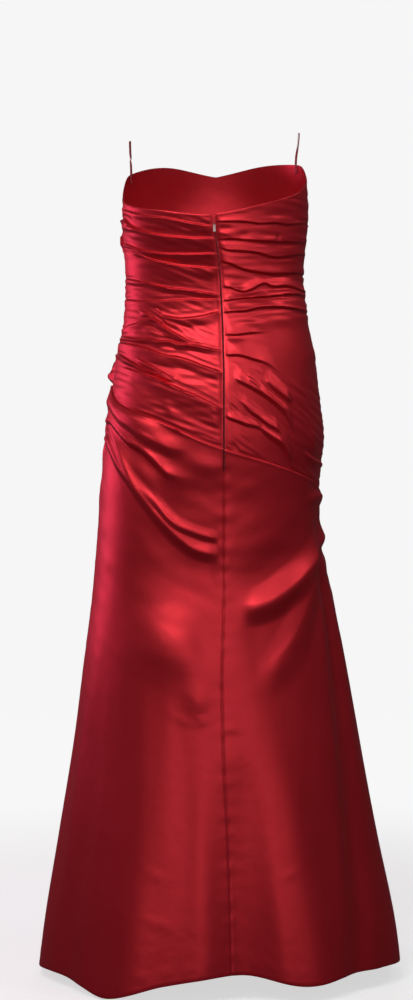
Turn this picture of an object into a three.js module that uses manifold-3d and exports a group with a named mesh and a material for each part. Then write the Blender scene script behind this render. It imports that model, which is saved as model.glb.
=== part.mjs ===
// A strapless floor-length evening gown in satin: a ruched bodice closed at the centre back by an
// invisible zip, and an A-line skirt that hangs from a slanting dropped-waist seam. The gown keeps the
// hollow, upright form that it has when it is worn.
// Lengths are millimetres and angles are degrees. +Z is up, the back faces -Y, and the wearer's right
// is +X. The origin is the centre of the waist.
import * as THREE from "three";
import Module from "manifold-3d";
import { mergeVertices } from "three/addons/utils/BufferGeometryUtils.js";

// Driving sizes
const WALL = 1.6; // satin with its underlining
const SEAM_GAP = 0.3; // between two pieces that are sewn edge to edge
const SKIRT_LAP = WALL + SEAM_GAP; // the skirt's folded top edge lies over the bodice's lower edge
const BOX = 0.1; // how much squarer than an ellipse a section is
const QUARTER_COLUMNS = 10; // columns of points across a quarter of the bodice
const SKIRT_COLUMNS = 12; // and of the skirt
const ZIP_COLUMN = 0.05; // share of a back panel that its narrow first column takes, beside the zip
const BACK_GROOVE = 2; // open slot in front of the closed zip
const ZIP_TOP = 93;
const ZIP_END = -322;

// The figure's sections: height, half widths to the wearer's left and right, depths to the back and
// the front, and how far the centre back seam lies to the right.
const SECTIONS = [
  { z: 215, left: 150, right: 146, back: 113, front: 116, seam: -6 },
  { z: 165, left: 154, right: 150, back: 113, front: 122, seam: -6 },
  { z: 112, left: 154, right: 152, back: 111, front: 122, seam: -5 },
  { z: 80, left: 153, right: 150, back: 108, front: 120, seam: -3 },
  { z: 42, left: 151, right: 146, back: 103, front: 113, seam: 2 },
  { z: 0, left: 149, right: 144, back: 98, front: 104, seam: 6 },
  { z: -36, left: 150, right: 148, back: 101, front: 103, seam: 8 },
  { z: -79, left: 154, right: 154, back: 111, front: 106, seam: 10 },
  { z: -119, left: 163, right: 163, back: 123, front: 110, seam: 11 },
  { z: -160, left: 169, right: 167, back: 135, front: 113, seam: 12 },
  { z: -200, left: 176, right: 172, back: 143, front: 115, seam: 12 },
  { z: -257, left: 182, right: 178, back: 148, front: 117, seam: 12 },
  { z: -317, left: 188, right: 171, back: 148, front: 119, seam: 12 },
  { z: -376, left: 193, right: 170, back: 147, front: 122, seam: 12 },
  { z: -436, left: 197, right: 174, back: 150, front: 127, seam: 12 },
  { z: -515, left: 204, right: 192, back: 158, front: 136, seam: 12 },
  { z: -620, left: 217, right: 210, back: 174, front: 153, seam: 9 },
  { z: -760, left: 233, right: 235, back: 198, front: 179, seam: 11 },
  { z: -900, left: 254, right: 262, back: 225, front: 206, seam: 19 },
  { z: -1040, left: 276, right: 292, back: 254, front: 235, seam: 23 },
  { z: -1125, left: 286, right: 303, back: 271, front: 252, seam: 24 },
];

// The edges that run round the gown: their height at each angle round from the centre back, where 90
// is the wearer's right side and -90 the left.
const NECKLINE = [
  { deg: -180, z: 190 },
  { deg: -150, z: 204 },
  { deg: -120, z: 190 },
  { deg: -106, z: 177 },
  { deg: -90, z: 142 },
  { deg: -60, z: 118 },
  { deg: -30, z: 106 },
  { deg: 0, z: 98 },
  { deg: 30, z: 116 },
  { deg: 60, z: 139 },
  { deg: 76, z: 157 },
  { deg: 90, z: 174 },
  { deg: 106, z: 196 },
  { deg: 120, z: 203 },
  { deg: 150, z: 206 },
  { deg: 180, z: 190 },
];
const DROPPED_WAIST = [
  { deg: -180, z: -258 },
  { deg: -135, z: -212 },
  { deg: -90, z: -170 },
  { deg: -60, z: -203 },
  { deg: -30, z: -231 },
  { deg: 0, z: -274 },
  { deg: 30, z: -303 },
  { deg: 60, z: -326 },
  { deg: 90, z: -344 },
  { deg: 135, z: -306 },
  { deg: 180, z: -258 },
];
const HEM = [
  { deg: -180, z: -1112 },
  { deg: -140, z: -1116 },
  { deg: -110, z: -1114 },
  { deg: -90, z: -1118 },
  { deg: -62, z: -1112 },
  { deg: -46, z: -1118 },
  { deg: -33, z: -1127 },
  { deg: -15, z: -1105 },
  { deg: 8, z: -1091 },
  { deg: 24, z: -1106 },
  { deg: 38, z: -1100 },
  { deg: 72, z: -1101 },
  { deg: 90, z: -1107 },
  { deg: 130, z: -1115 },
  { deg: 180, z: -1112 },
];

// Tucks of the ruched back panels: the crest's height at the zip, at each third of the way and at the
// side, how far the crest stands out at the zip, halfway and at the side, and how far the tuck reaches
// above and below its crest.
const LEFT_TUCKS = [
  { zip: 77, third: 92, late: 106, side: 117, outZip: 3, outMid: 3, outSide: 2, above: 5, below: 12 },
  { zip: 58, third: 64, late: 82, side: 98, outZip: 4, outMid: 5, outSide: 4, above: 5, below: 22 },
  { zip: 34, third: 36, late: 50, side: 66, outZip: 4, outMid: 5, outSide: 4, above: 5, below: 16 },
  { zip: 10, third: 21, late: 40, side: 54, outZip: 4, outMid: 4, outSide: 2, above: 5, below: 26 },
  { zip: -29, third: -18, late: -5, side: 2, outZip: 4, outMid: 4, outSide: 3, above: 5, below: 12 },
  { zip: -41, third: -38, late: -32, side: -28, outZip: 4, outMid: 4, outSide: 2, above: 4, below: 12 },
  { zip: -61, third: -67, late: -52, side: -46, outZip: 5, outMid: 5, outSide: 3, above: 6, below: 18 },
  { zip: -121, third: -93, late: -74, side: -77, outZip: 4, outMid: 6, outSide: 4, above: 6, below: 16 },
  { zip: -154, third: -118, late: -97, side: -90, outZip: 4, outMid: 6, outSide: 4, above: 7, below: 16 },
  { zip: -184, third: -144, late: -119, side: -106, outZip: 1, outMid: 5, outSide: 4, above: 5, below: 14 },
  { zip: -214, third: -180, late: -149, side: -129, outZip: 5, outMid: 6, outSide: 5, above: 7, below: 30 },
];
const RIGHT_TUCKS = [
  { zip: 79, third: 84, late: 88, side: 92, outZip: 2, outMid: 3, outSide: 2, above: 5, below: 16 },
  { zip: 57, third: 55, late: 56, side: 60, outZip: 4, outMid: 4, outSide: 3, above: 6, below: 14 },
  { zip: 40, third: 30, late: 37, side: 42, outZip: 4, outMid: 5, outSide: 3, above: 6, below: 18 },
  { zip: 10, third: 1, late: 0, side: 4, outZip: 5, outMid: 5, outSide: 2, above: 6, below: 16 },
  { zip: -15, third: -22, late: -24, side: -20, outZip: 4, outMid: 5, outSide: 4, above: 5, below: 10 },
  { zip: -34, third: -38, late: -40, side: -38, outZip: 3, outMid: 4, outSide: 4, above: 4, below: 14 },
  { zip: -61, third: -56, late: -58, side: -60, outZip: 4, outMid: 4, outSide: 3, above: 5, below: 16 },
  { zip: -100, third: -94, late: -92, side: -90, outZip: 4, outMid: 2, outSide: 2, above: 5, below: 20 },
  { zip: -129, third: -138, late: -162, side: -180, outZip: 3, outMid: 5, outSide: 1, above: 7, below: 20 },
  { zip: -166, third: -188, late: -250, side: -276, outZip: 4, outMid: 7, outSide: 2, above: 8, below: 18 },
  { zip: -198, third: -230, late: -282, side: -304, outZip: 5, outMid: 7, outSide: 2, above: 8, below: 16 },
  { zip: -232, third: -262, late: -305, side: -324, outZip: 5, outMid: 7, outSide: 2, above: 8, below: 14 },
];
// Tucks of the front panel: heights and stand-outs at the right side, the centre front and the left side.
const FRONT_TUCKS = [
  { right: 126, centre: 152, left: 118, outRight: 3, outCentre: 3, outLeft: 4, above: 6, below: 20 },
  { right: 92, centre: 116, left: 92, outRight: 3, outCentre: 4, outLeft: 3, above: 5, below: 20 },
  { right: 60, centre: 84, left: 72, outRight: 3, outCentre: 4, outLeft: 10, above: 8, below: 18 },
  { right: 34, centre: 52, left: 44, outRight: 3, outCentre: 4, outLeft: 2, above: 5, below: 18 },
  { right: 4, centre: 18, left: 2, outRight: 3, outCentre: 5, outLeft: 3, above: 5, below: 16 },
  { right: -22, centre: -14, left: -28, outRight: 4, outCentre: 4, outLeft: 2, above: 5, below: 14 },
  { right: -42, centre: -44, left: -48, outRight: 4, outCentre: 5, outLeft: 3, above: 5, below: 14 },
  { right: -68, centre: -76, left: -76, outRight: 3, outCentre: 5, outLeft: 4, above: 6, below: 14 },
  { right: -104, centre: -108, left: -91, outRight: 2, outCentre: 6, outLeft: 4, above: 6, below: 16 },
  { right: -160, centre: -142, left: -106, outRight: 1, outCentre: 6, outLeft: 4, above: 6, below: 18 },
  { right: -226, centre: -180, left: -129, outRight: 2, outCentre: 6, outLeft: 5, above: 7, below: 20 },
  { right: -290, centre: -218, left: -148, outRight: 3, outCentre: 6, outLeft: 7, above: 7, below: 22 },
];
// The last tuck's loose end, which stands out at the left side seam.
const EAR = { z: -157, out: 14, above: 11, below: 11, reach: 16 };

// Swags that drape across the top of the skirt, in the same columns as the tucks.
const LEFT_SWAGS = [
  { zip: -296, third: -262, late: -228, side: -196, outZip: 1, outMid: 5, outSide: 3, above: 12, below: 20 },
  { zip: -330, third: -318, late: -256, side: -206, outZip: 2, outMid: 7, outSide: 4, above: 16, below: 26 },
  { zip: -446, third: -396, late: -318, side: -226, outZip: 3, outMid: 10, outSide: 5, above: 14, below: 24 },
  { zip: -560, third: -520, late: -420, side: -300, outZip: 1, outMid: 6, outSide: 2, above: 40, below: 40 },
];
const RIGHT_SWAGS = [
  { zip: -380, third: -372, late: -364, side: -354, outZip: 0, outMid: 2, outSide: 8, above: 10, below: 12 },
  { zip: -516, third: -510, late: -464, side: -412, outZip: 1, outMid: 10, outSide: 6, above: 22, below: 26 },
  { zip: -626, third: -606, late: -536, side: -446, outZip: 1, outMid: 7, outSide: 3, above: 24, below: 34 },
];
const FRONT_SWAGS = [
  { right: -354, centre: -300, left: -204, outRight: 8, outCentre: 5, outLeft: 4, above: 16, below: 26 },
  { right: -420, centre: -400, left: -228, outRight: 6, outCentre: 9, outLeft: 5, above: 20, below: 28 },
  { right: -520, centre: -520, left: -300, outRight: 3, outCentre: 7, outLeft: 2, above: 30, below: 40 },
];
// Flutes that fall to the hem: where each starts and ends, how far it stands out (or in) at both ends,
// and its half width.
const FLUTES = [
  { top: -620, degTop: -22, degHem: -28, outTop: 0, outHem: 15, half: 17 },
  { top: -760, degTop: 6, degHem: 7, outTop: 0, outHem: -20, half: 13 },
  { top: -640, degTop: 22, degHem: 29, outTop: 0, outHem: 14, half: 15 },
  { top: -430, degTop: 72, degHem: 46, outTop: -10, outHem: -9, half: 11 },
  { top: -520, degTop: -50, degHem: -56, outTop: 0, outHem: -9, half: 15 },
  { top: -560, degTop: 80, degHem: 70, outTop: 3, outHem: 8, half: 13 },
  { top: -600, degTop: -84, degHem: -80, outTop: 0, outHem: 7, half: 13 },
  { top: -560, degTop: 108, degHem: 104, outTop: 0, outHem: -10, half: 13 },
  { top: -560, degTop: 130, degHem: 128, outTop: 0, outHem: 12, half: 14 },
  { top: -560, degTop: 152, degHem: 154, outTop: 0, outHem: -12, half: 13 },
  { top: -560, degTop: 178, degHem: 180, outTop: 0, outHem: 12, half: 15 },
  { top: -560, degTop: -152, degHem: -150, outTop: 0, outHem: -11, half: 14 },
  { top: -560, degTop: -126, degHem: -124, outTop: 0, outHem: 12, half: 14 },
  { top: -560, degTop: -104, degHem: -102, outTop: 0, outHem: -8, half: 12 },
];
const FLUTE_START = 60; // a flute fades in from this far above its top to this far below it
const PLAIN_SKIRT_TOP = -650; // below this the skirt's rows lie level
const PLAIN_SKIRT_ROWS = 8;

// General figure under the front: two soft fullnesses that the cut is shaped for.
const BUST = { x: 72, z: 112, out: 13, wide: 50, high: 62 };

const radians = (deg) => (deg * Math.PI) / 180;
const clamp01 = (t) => Math.min(1, Math.max(0, t));
const smooth = (t) => clamp01(t) ** 2 * (3 - 2 * clamp01(t));
const mix = (a, b, t) => a + (b - a) * t;

// A smooth curve through rows sorted by one column, read from another column.
function through(rows, along, key, at) {
  const rising = rows[1][along] > rows[0][along] ? 1 : -1;
  let i = 0;
  while (i < rows.length - 2 && rising * at > rising * rows[i + 1][along]) i += 1;
  const [p, q] = [rows[i], rows[i + 1]];
  const slope = (a, b) => (b[key] - a[key]) / (b[along] - a[along]);
  const here = slope(p, q);
  const startSlope = i > 0 ? (slope(rows[i - 1], p) + here) / 2 : here;
  const endSlope = i < rows.length - 2 ? (here + slope(q, rows[i + 2])) / 2 : here;
  const span = q[along] - p[along];
  const t = clamp01((at - p[along]) / span);
  return (
    (2 * t ** 3 - 3 * t ** 2 + 1) * p[key] +
    (t ** 3 - 2 * t ** 2 + t) * span * startSlope +
    (3 * t ** 2 - 2 * t ** 3) * q[key] +
    (t ** 3 - t ** 2) * span * endSlope
  );
}
const section = (z, key) => through(SECTIONS, "z", key, z);
const edge = (rows, deg) => through(rows, "deg", "z", ((((deg + 180) % 360) + 360) % 360) - 180);
const squarer = (u) => u * (1 + BOX * (1 - u * u));

// The smooth figure under the folds, at an angle round from the centre back and a height.
function figure(deg, z) {
  const across = squarer(Math.sin(radians(deg)));
  const along = squarer(Math.cos(radians(deg)));
  const x = across * section(z, across < 0 ? "left" : "right");
  const y = -along * section(z, along < 0 ? "front" : "back");
  if (along > 0) return new THREE.Vector3(x, y, z);
  const rise = Math.exp(-(((z - BUST.z) / BUST.high) ** 2));
  const near = (centre) => Math.exp(-(((x - centre) / BUST.wide) ** 2));
  return new THREE.Vector3(x, y + BUST.out * rise * (near(BUST.x) + near(-BUST.x)) * smooth(-2 * along), z);
}

// The figure moved out level by a distance.
function movedOut(deg, z, out) {
  const step = 0.5;
  const ahead = figure(deg + step, z);
  const behind = figure(deg - step, z);
  const outward = new THREE.Vector3(ahead.y - behind.y, behind.x - ahead.x, 0).normalize();
  return figure(deg, z).addScaledVector(outward, out);
}

// The angle of the centre back seam at a height, and the angle that a length along the back covers.
const seamDeg = (z) => (Math.asin(section(z, "seam") / section(z, "right") / (1 + BOX)) * 180) / Math.PI;
const degOfLength = (z, length) => ((length / section(z, "left") / (1 + BOX)) * 180) / Math.PI;

// One fold's profile: 1 on its crest and 0 beyond its reach above and below.
const profile = (rise, above, below) => 1 - smooth(rise > 0 ? rise / above : -rise / below);

// A quarter panel runs from the centre back, share 0, to a side seam, share 1.
function quarterFolds(table) {
  const stations = [0, 1 / 3, 2 / 3, 1];
  return table.map((f) => {
    const heights = [f.zip, f.third, f.late, f.side].map((z, i) => ({ at: stations[i], z }));
    const stands = [f.outZip, f.outMid, f.outSide].map((out, i) => ({ at: i / 2, out }));
    return {
      crest: (share) => through(heights, "at", "z", share),
      out: (share) => through(stands, "at", "out", share),
      above: f.above,
      below: f.below,
    };
  });
}
// The front panel runs from the right side, share 0, to the left side, share 1.
function frontFolds(table) {
  return table.map((f) => {
    const heights = [f.right, f.centre, f.left].map((z, i) => ({ at: i / 2, z }));
    const stands = [f.outRight, f.outCentre, f.outLeft].map((out, i) => ({ at: i / 2, out }));
    return {
      crest: (share) => through(heights, "at", "z", share),
      out: (share) => through(stands, "at", "out", share),
      above: f.above,
      below: f.below,
    };
  });
}
const foldsOut = (folds, share, z) =>
  folds.reduce((sum, f) => sum + f.out(share) * profile(z - f.crest(share), f.above, f.below), 0);

function flutesOut(deg, z) {
  return FLUTES.reduce((sum, f) => {
    const fall = clamp01((f.top - z) / (f.top - SECTIONS.at(-1).z));
    const centre = mix(f.degTop, f.degHem, fall);
    const away = Math.abs(((((deg - centre + 180) % 360) + 360) % 360) - 180);
    const start = smooth((f.top + FLUTE_START - z) / (2 * FLUTE_START));
    return sum + start * mix(f.outTop, f.outHem, fall) * (1 - smooth(away / f.half));
  }, 0);
}

// Row heights of a panel down one column: its top edge, three rows for each fold, extra level rows,
// and its bottom edge, each kept a little below the one before.
function rowHeights(folds, share, top, bottom, levels = []) {
  const least = 1.3;
  const wanted = [];
  folds.forEach((f, i) => {
    const next = folds[i + 1];
    const crest = f.crest(share);
    const reach = next ? (crest - next.crest(share) - next.above) / 2 : f.below;
    wanted.push(crest + f.above, crest, crest - Math.min(f.below, Math.max(reach, 2)));
  });
  wanted.push(...levels);
  const rows = [top];
  wanted.forEach((z, i) => {
    const lowest = bottom + least * (wanted.length - i);
    rows.push(Math.max(lowest, Math.min(z, rows.at(-1) - least)));
  });
  rows.push(bottom);
  return rows;
}

// A closed wall between an outer and an inner grid of points, columns running round the gown.
function wall(columns, rows, outer, inner) {
  const positions = [];
  const index = [];
  const width = rows + 1;
  [outer, inner].forEach((surface) => {
    for (let i = 0; i <= columns; i += 1) {
      for (let j = 0; j <= rows; j += 1) positions.push(...surface(i, j).toArray());
    }
  });
  const out = (i, j) => i * width + j;
  const into = (i, j) => (columns + 1) * width + i * width + j;
  const quad = (a, b, c, d) => index.push(a, b, c, a, c, d);
  for (let i = 0; i < columns; i += 1) {
    for (let j = 0; j < rows; j += 1) {
      quad(out(i, j), out(i, j + 1), out(i + 1, j + 1), out(i + 1, j));
      quad(into(i, j), into(i + 1, j), into(i + 1, j + 1), into(i, j + 1));
    }
    quad(out(i, 0), out(i + 1, 0), into(i + 1, 0), into(i, 0));
    quad(out(i, rows), into(i, rows), into(i + 1, rows), out(i + 1, rows));
  }
  for (let j = 0; j < rows; j += 1) {
    quad(out(0, j), into(0, j), into(0, j + 1), out(0, j + 1));
    quad(out(columns, j), out(columns, j + 1), into(columns, j + 1), into(columns, j));
  }
  return new THREE.BufferGeometry()
    .setAttribute("position", new THREE.Float32BufferAttribute(positions, 3))
    .setIndex(index);
}

const satin = (colour) => new THREE.MeshStandardMaterial({ color: colour, roughness: 0.35, metalness: 0 });
const gown = new THREE.Group();
function add(name, geometry, material) {
  const mesh = new THREE.Mesh(geometry, material);
  mesh.name = name;
  gown.add(mesh);
  return mesh;
}

// Half the slot between the two back panels at a height: wide along the zip, closed below it.
const SLOT_CLOSES_OVER = 12;
const halfSlot = (z) => mix(SEAM_GAP / 2, BACK_GROOVE / 2, smooth((z - ZIP_END) / SLOT_CLOSES_OVER));

// How a panel's shares lie round the gown. A quarter runs from the centre back to one side.
function quarterAngles(side) {
  return (share, z) => {
    const start = seamDeg(z) + side * degOfLength(z, halfSlot(z));
    return mix(start, side * (90 - degOfLength(z, SEAM_GAP / 2)), share);
  };
}
const frontAngles = (share, z) => {
  const start = 90 + degOfLength(z, SEAM_GAP / 2);
  return mix(start, 360 - start, share);
};

// The length round a quarter of the gown at a height.
const quarterLength = (z) => (Math.PI / 2) * section(z, "left");

// Folds die away within this length of the zip, where the panel's edge is turned and stitched.
const ZIP_MARGIN = 14;
const FOLD_AT_ZIP = 0.12; // the share of a fold's height that is left there
const marginFade = (share, z) => mix(FOLD_AT_ZIP, 1, smooth((share * quarterLength(z)) / ZIP_MARGIN));
const noFade = () => 1;
const earOut = (distance, z) =>
  EAR.out * profile(z - EAR.z, EAR.above, EAR.below) * (1 - smooth(distance / EAR.reach));

// The share at each column of a panel. A back panel has a narrow column beside the zip. The left back
// panels list their columns from the side, so that every panel's run the same way about the gown.
const evenColumns = (columns) => (i) => i / columns;
const fromZip = (columns) => (i) => (i === 0 ? 0 : mix(ZIP_COLUMN, 1, (i - 1) / (columns - 1)));
const towardsZip = (columns) => (i) => fromZip(columns)(columns - i);

// Bodice panels have a plain inside, and tucks raised on the outside.
function bodicePanel({ folds, angles, columns, shares, fade, extra }) {
  const share = shares(columns);
  const rowsAt = Array.from({ length: columns + 1 }, (_, i) => {
    const round = angles(share(i), 0);
    return rowHeights(folds, share(i), edge(NECKLINE, round), edge(DROPPED_WAIST, round) + SEAM_GAP / 2);
  });
  const place = (i, j, out) => {
    const z = rowsAt[i][j];
    const deg = angles(share(i), z);
    return movedOut(deg, z, out(share(i), z, j));
  };
  const lastRow = rowsAt[0].length - 1;
  const relief = (s, z, j) => {
    const edgeFade = j === 0 || j === lastRow ? 0 : 1;
    return edgeFade * (fade(s, z) * foldsOut(folds, s, z) + extra(s, z));
  };
  return wall(columns, lastRow, (i, j) => place(i, j, relief), (i, j) => place(i, j, () => -WALL));
}

// Skirt panels are one layer of even thickness, inside and out.
const LAP_FADES_OVER = 60;
function skirtPanel({ folds, angles, columns, shares, fade }) {
  const share = shares(columns);
  const rowsAt = Array.from({ length: columns + 1 }, (_, i) => {
    const top = edge(DROPPED_WAIST, angles(share(i), edge(DROPPED_WAIST, 0))) - SEAM_GAP / 2;
    const hem = edge(HEM, angles(share(i), edge(HEM, 180)));
    const level = (_, k) => mix(PLAIN_SKIRT_TOP, hem, k / PLAIN_SKIRT_ROWS);
    return rowHeights(folds, share(i), top, hem, Array.from({ length: PLAIN_SKIRT_ROWS }, level));
  });
  const place = (i, j, depth) => {
    const z = rowsAt[i][j];
    const deg = angles(share(i), z);
    const lap = SKIRT_LAP * (1 - smooth((rowsAt[i][0] - z) / LAP_FADES_OVER));
    const folded = j === 0 ? 0 : fade(share(i), z) * foldsOut(folds, share(i), z);
    return movedOut(deg, z, lap + folded + flutesOut(deg, z) - depth);
  };
  return wall(columns, rowsAt[0].length - 1, (i, j) => place(i, j, 0), (i, j) => place(i, j, WALL));
}

const SATIN_RED = 0xb4161f;
const left = quarterFolds(LEFT_TUCKS);
const right = quarterFolds(RIGHT_TUCKS);
const front = frontFolds(FRONT_TUCKS);
add(
  "bodice_back_left",
  bodicePanel({
    folds: left,
    angles: quarterAngles(-1),
    columns: QUARTER_COLUMNS,
    shares: towardsZip,
    fade: marginFade,
    extra: (s, z) => earOut((1 - s) * quarterLength(z), z),
  }),
  satin(SATIN_RED),
);
add(
  "bodice_back_right",
  bodicePanel({
    folds: right,
    angles: quarterAngles(1),
    columns: QUARTER_COLUMNS,
    shares: fromZip,
    fade: marginFade,
    extra: () => 0,
  }),
  satin(SATIN_RED),
);
add(
  "bodice_front",
  bodicePanel({
    folds: front,
    angles: frontAngles,
    columns: 2 * QUARTER_COLUMNS,
    shares: evenColumns,
    fade: noFade,
    extra: (s, z) => earOut((1 - s) * 2 * quarterLength(z), z),
  }),
  satin(SATIN_RED),
);
add(
  "skirt_back_left",
  skirtPanel({
    folds: quarterFolds(LEFT_SWAGS),
    angles: quarterAngles(-1),
    columns: SKIRT_COLUMNS,
    shares: towardsZip,
    fade: marginFade,
  }),
  satin(SATIN_RED),
);
add(
  "skirt_back_right",
  skirtPanel({
    folds: quarterFolds(RIGHT_SWAGS),
    angles: quarterAngles(1),
    columns: SKIRT_COLUMNS,
    shares: fromZip,
    fade: marginFade,
  }),
  satin(SATIN_RED),
);
add(
  "skirt_front",
  skirtPanel({
    folds: frontFolds(FRONT_SWAGS),
    angles: frontAngles,
    columns: 2 * SKIRT_COLUMNS,
    shares: evenColumns,
    fade: noFade,
  }),
  satin(SATIN_RED),
);

// The invisible zip: two tapes behind the panels' edges, and the closed coil behind the tapes.
const TAPE = { width: 10.5, thick: 0.8, slot: 1.8, rows: 26 };
const COIL = { width: 4.2, thick: 1.5, aboveTapeEnd: 4 };
const SLIDER = { z: 81, width: 5.4, height: 8, thick: 2, neck: 0.9, neckHeight: 3, behindCoil: 0.3 };
const tapeDepth = WALL + 2 * SEAM_GAP;
const coilDepth = tapeDepth + TAPE.thick + SEAM_GAP;

// A strip that follows the centre back, between two lengths from it, at a depth behind the figure.
function backStrip(from, to, depth, thick, top, bottom, rows) {
  const at = (i, j, deep) => {
    const z = mix(top, bottom, j / rows);
    return movedOut(seamDeg(z) + degOfLength(z, mix(from, to, i)), z, -deep);
  };
  return wall(1, rows, (i, j) => at(i, j, depth), (i, j) => at(i, j, depth + thick));
}
const tapeCloth = satin(0x8e1219);
const tapeFrom = TAPE.slot / 2;
const tapeTo = tapeFrom + TAPE.width;
const tape = (from, to) => backStrip(from, to, tapeDepth, TAPE.thick, ZIP_TOP, ZIP_END, TAPE.rows);
add("zip_tape_left", tape(-tapeTo, -tapeFrom), tapeCloth);
add("zip_tape_right", tape(tapeFrom, tapeTo), tapeCloth);
const coilTop = SLIDER.z - SLIDER.height / 2 - SEAM_GAP;
const coilEnd = ZIP_END + COIL.aboveTapeEnd;
add(
  "zip_coil",
  backStrip(-COIL.width / 2, COIL.width / 2, coilDepth, COIL.thick, coilTop, coilEnd, TAPE.rows),
  tapeCloth,
);

// The slider is one piece: a body behind the tapes, a neck through the slot, a crown outside, and on
// the crown a half-ring bail. The pull hangs in the bail and turns about the bail's centre, along X.
const CROWN = { width: 2.6, height: 5, thick: 0.8, proud: 0.5 };
const BAIL = { inner: 1.1, outer: 1.9, width: 0.9, sunk: 0.3 };
const zipPoint = figure(seamDeg(SLIDER.z), SLIDER.z);
const crownFace = zipPoint.y - CROWN.proud - CROWN.thick;
const hinge = new THREE.Vector3(zipPoint.x, crownFace - BAIL.inner + BAIL.sunk, SLIDER.z);
const bodyFace = zipPoint.y + coilDepth + SLIDER.behindCoil;

const CURVE_STEPS = 10;
const wasm = await Module();
wasm.setup();
function solid(geometry) {
  const bare = geometry.clone().deleteAttribute("normal").deleteAttribute("uv");
  const merged = mergeVertices(bare);
  return new wasm.Manifold(
    new wasm.Mesh({
      numProp: 3,
      vertProperties: new Float32Array(merged.attributes.position.array),
      triVerts: new Uint32Array(merged.index.array),
    }),
  );
}
function joined(geometries) {
  const mesh = geometries.map(solid).reduce((sum, next) => sum.add(next)).getMesh();
  return new THREE.BufferGeometry()
    .setAttribute("position", new THREE.Float32BufferAttribute(mesh.vertProperties, 3))
    .setIndex(new THREE.Uint32BufferAttribute(mesh.triVerts, 1));
}
const extruded = (outline, depth) =>
  new THREE.ExtrudeGeometry(outline, { depth, bevelEnabled: false, curveSegments: CURVE_STEPS });
// A flat plate whose outline has rounded ends, facing the back, from one depth to another.
function plate(width, height, fromY, toY) {
  const round = width / 2;
  const outline = new THREE.Shape();
  outline.absarc(0, height / 2 - round, round, 0, Math.PI, false);
  outline.absarc(0, -height / 2 + round, round, Math.PI, 2 * Math.PI, false);
  return extruded(outline, toY - fromY)
    .rotateX(Math.PI / 2)
    .translate(zipPoint.x, toY, SLIDER.z);
}
function bail() {
  const reach = crownFace - hinge.y + CROWN.thick / 2;
  const outline = new THREE.Shape();
  outline.moveTo(reach, BAIL.outer);
  outline.absarc(0, 0, BAIL.outer, Math.PI / 2, (3 * Math.PI) / 2, false);
  outline.lineTo(reach, -BAIL.outer);
  outline.lineTo(reach, -BAIL.inner);
  outline.absarc(0, 0, BAIL.inner, (3 * Math.PI) / 2, Math.PI / 2, true);
  outline.lineTo(reach, BAIL.inner);
  // The outline's first axis turns to Y, its second to Z and its thickness to X.
  const turn = new THREE.Matrix4().set(0, 0, 1, 0, 1, 0, 0, 0, 0, 1, 0, 0, 0, 0, 0, 1);
  return extruded(outline, BAIL.width)
    .applyMatrix4(turn)
    .translate(hinge.x - BAIL.width / 2, hinge.y, hinge.z);
}
const neckDepth = bodyFace + SLIDER.thick / 2 - (crownFace + CROWN.thick / 2);
const neck = new THREE.BoxGeometry(SLIDER.neck, neckDepth, SLIDER.neckHeight).translate(
  zipPoint.x,
  crownFace + CROWN.thick / 2 + neckDepth / 2,
  SLIDER.z,
);
const sliderMetal = new THREE.MeshStandardMaterial({ color: 0xa01a22, roughness: 0.4, metalness: 0.3 });
add(
  "zip_slider",
  joined([
    plate(SLIDER.width, SLIDER.height, bodyFace, bodyFace + SLIDER.thick),
    neck,
    plate(CROWN.width, CROWN.height, crownFace, crownFace + CROWN.thick),
    bail(),
  ]),
  sliderMetal,
);

// The pull is a flat drop with a window near its top: the bar above the window lies in the bail.
const PULL = { topWidth: 3.4, width: 4, length: 12, thick: 0.9, bar: 0.8, neck: 3.3 };
const WINDOW = { width: 1.7, depth: 2.3 };
function pull() {
  const [top, low] = [PULL.bar / 2, PULL.bar / 2 - PULL.length];
  const [half, wide] = [PULL.topWidth / 2, PULL.width / 2];
  const outline = new THREE.Shape();
  outline.moveTo(half, top);
  outline.lineTo(-half, top);
  outline.lineTo(-half, -PULL.neck);
  outline.lineTo(-wide, low + wide);
  outline.absarc(0, low + wide, wide, Math.PI, 2 * Math.PI, false);
  outline.lineTo(half, -PULL.neck);
  const hole = new THREE.Path();
  hole.moveTo(WINDOW.width / 2, -PULL.bar / 2);
  hole.lineTo(WINDOW.width / 2, -WINDOW.depth);
  hole.lineTo(-WINDOW.width / 2, -WINDOW.depth);
  hole.lineTo(-WINDOW.width / 2, -PULL.bar / 2);
  outline.holes.push(hole);
  return extruded(outline, PULL.thick)
    .rotateX(Math.PI / 2)
    .translate(0, PULL.thick / 2, 0);
}
const pullMetal = new THREE.MeshStandardMaterial({ color: 0xd9b9b4, roughness: 0.35, metalness: 0.5 });
add("zip_pull", pull(), pullMetal).position.copy(hinge);

// Two hanger loops of narrow ribbon, sewn flat inside the front panel just ahead of the side seams.
// Each rises from the wall, turns over at its top and goes back down, and both its strands twist.
const RIBBON = { width: 2.4, thick: 0.6, clear: 1.4, steps: 44, sides: 8 };
const LOOPS = [
  { name: "hanger_loop_left", deg: -111, x: -143.5, top: 240, sewn: 14, apart: 4, twist: 180 },
  { name: "hanger_loop_right", deg: 114, x: 138.5, top: 254, sewn: 14, apart: 4, twist: 60 },
];
const FLATTENS = { below: 8, over: 14 }; // where the ribbon turns flat to the wall, near the neckline
const TWISTS = { from: 0.25, over: 0.4 }; // and where it twists, in shares of the way up

// The wall's outward direction at a loop, level.
const outwardAt = (deg, z) => movedOut(deg, z, 1).sub(figure(deg, z));

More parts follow.
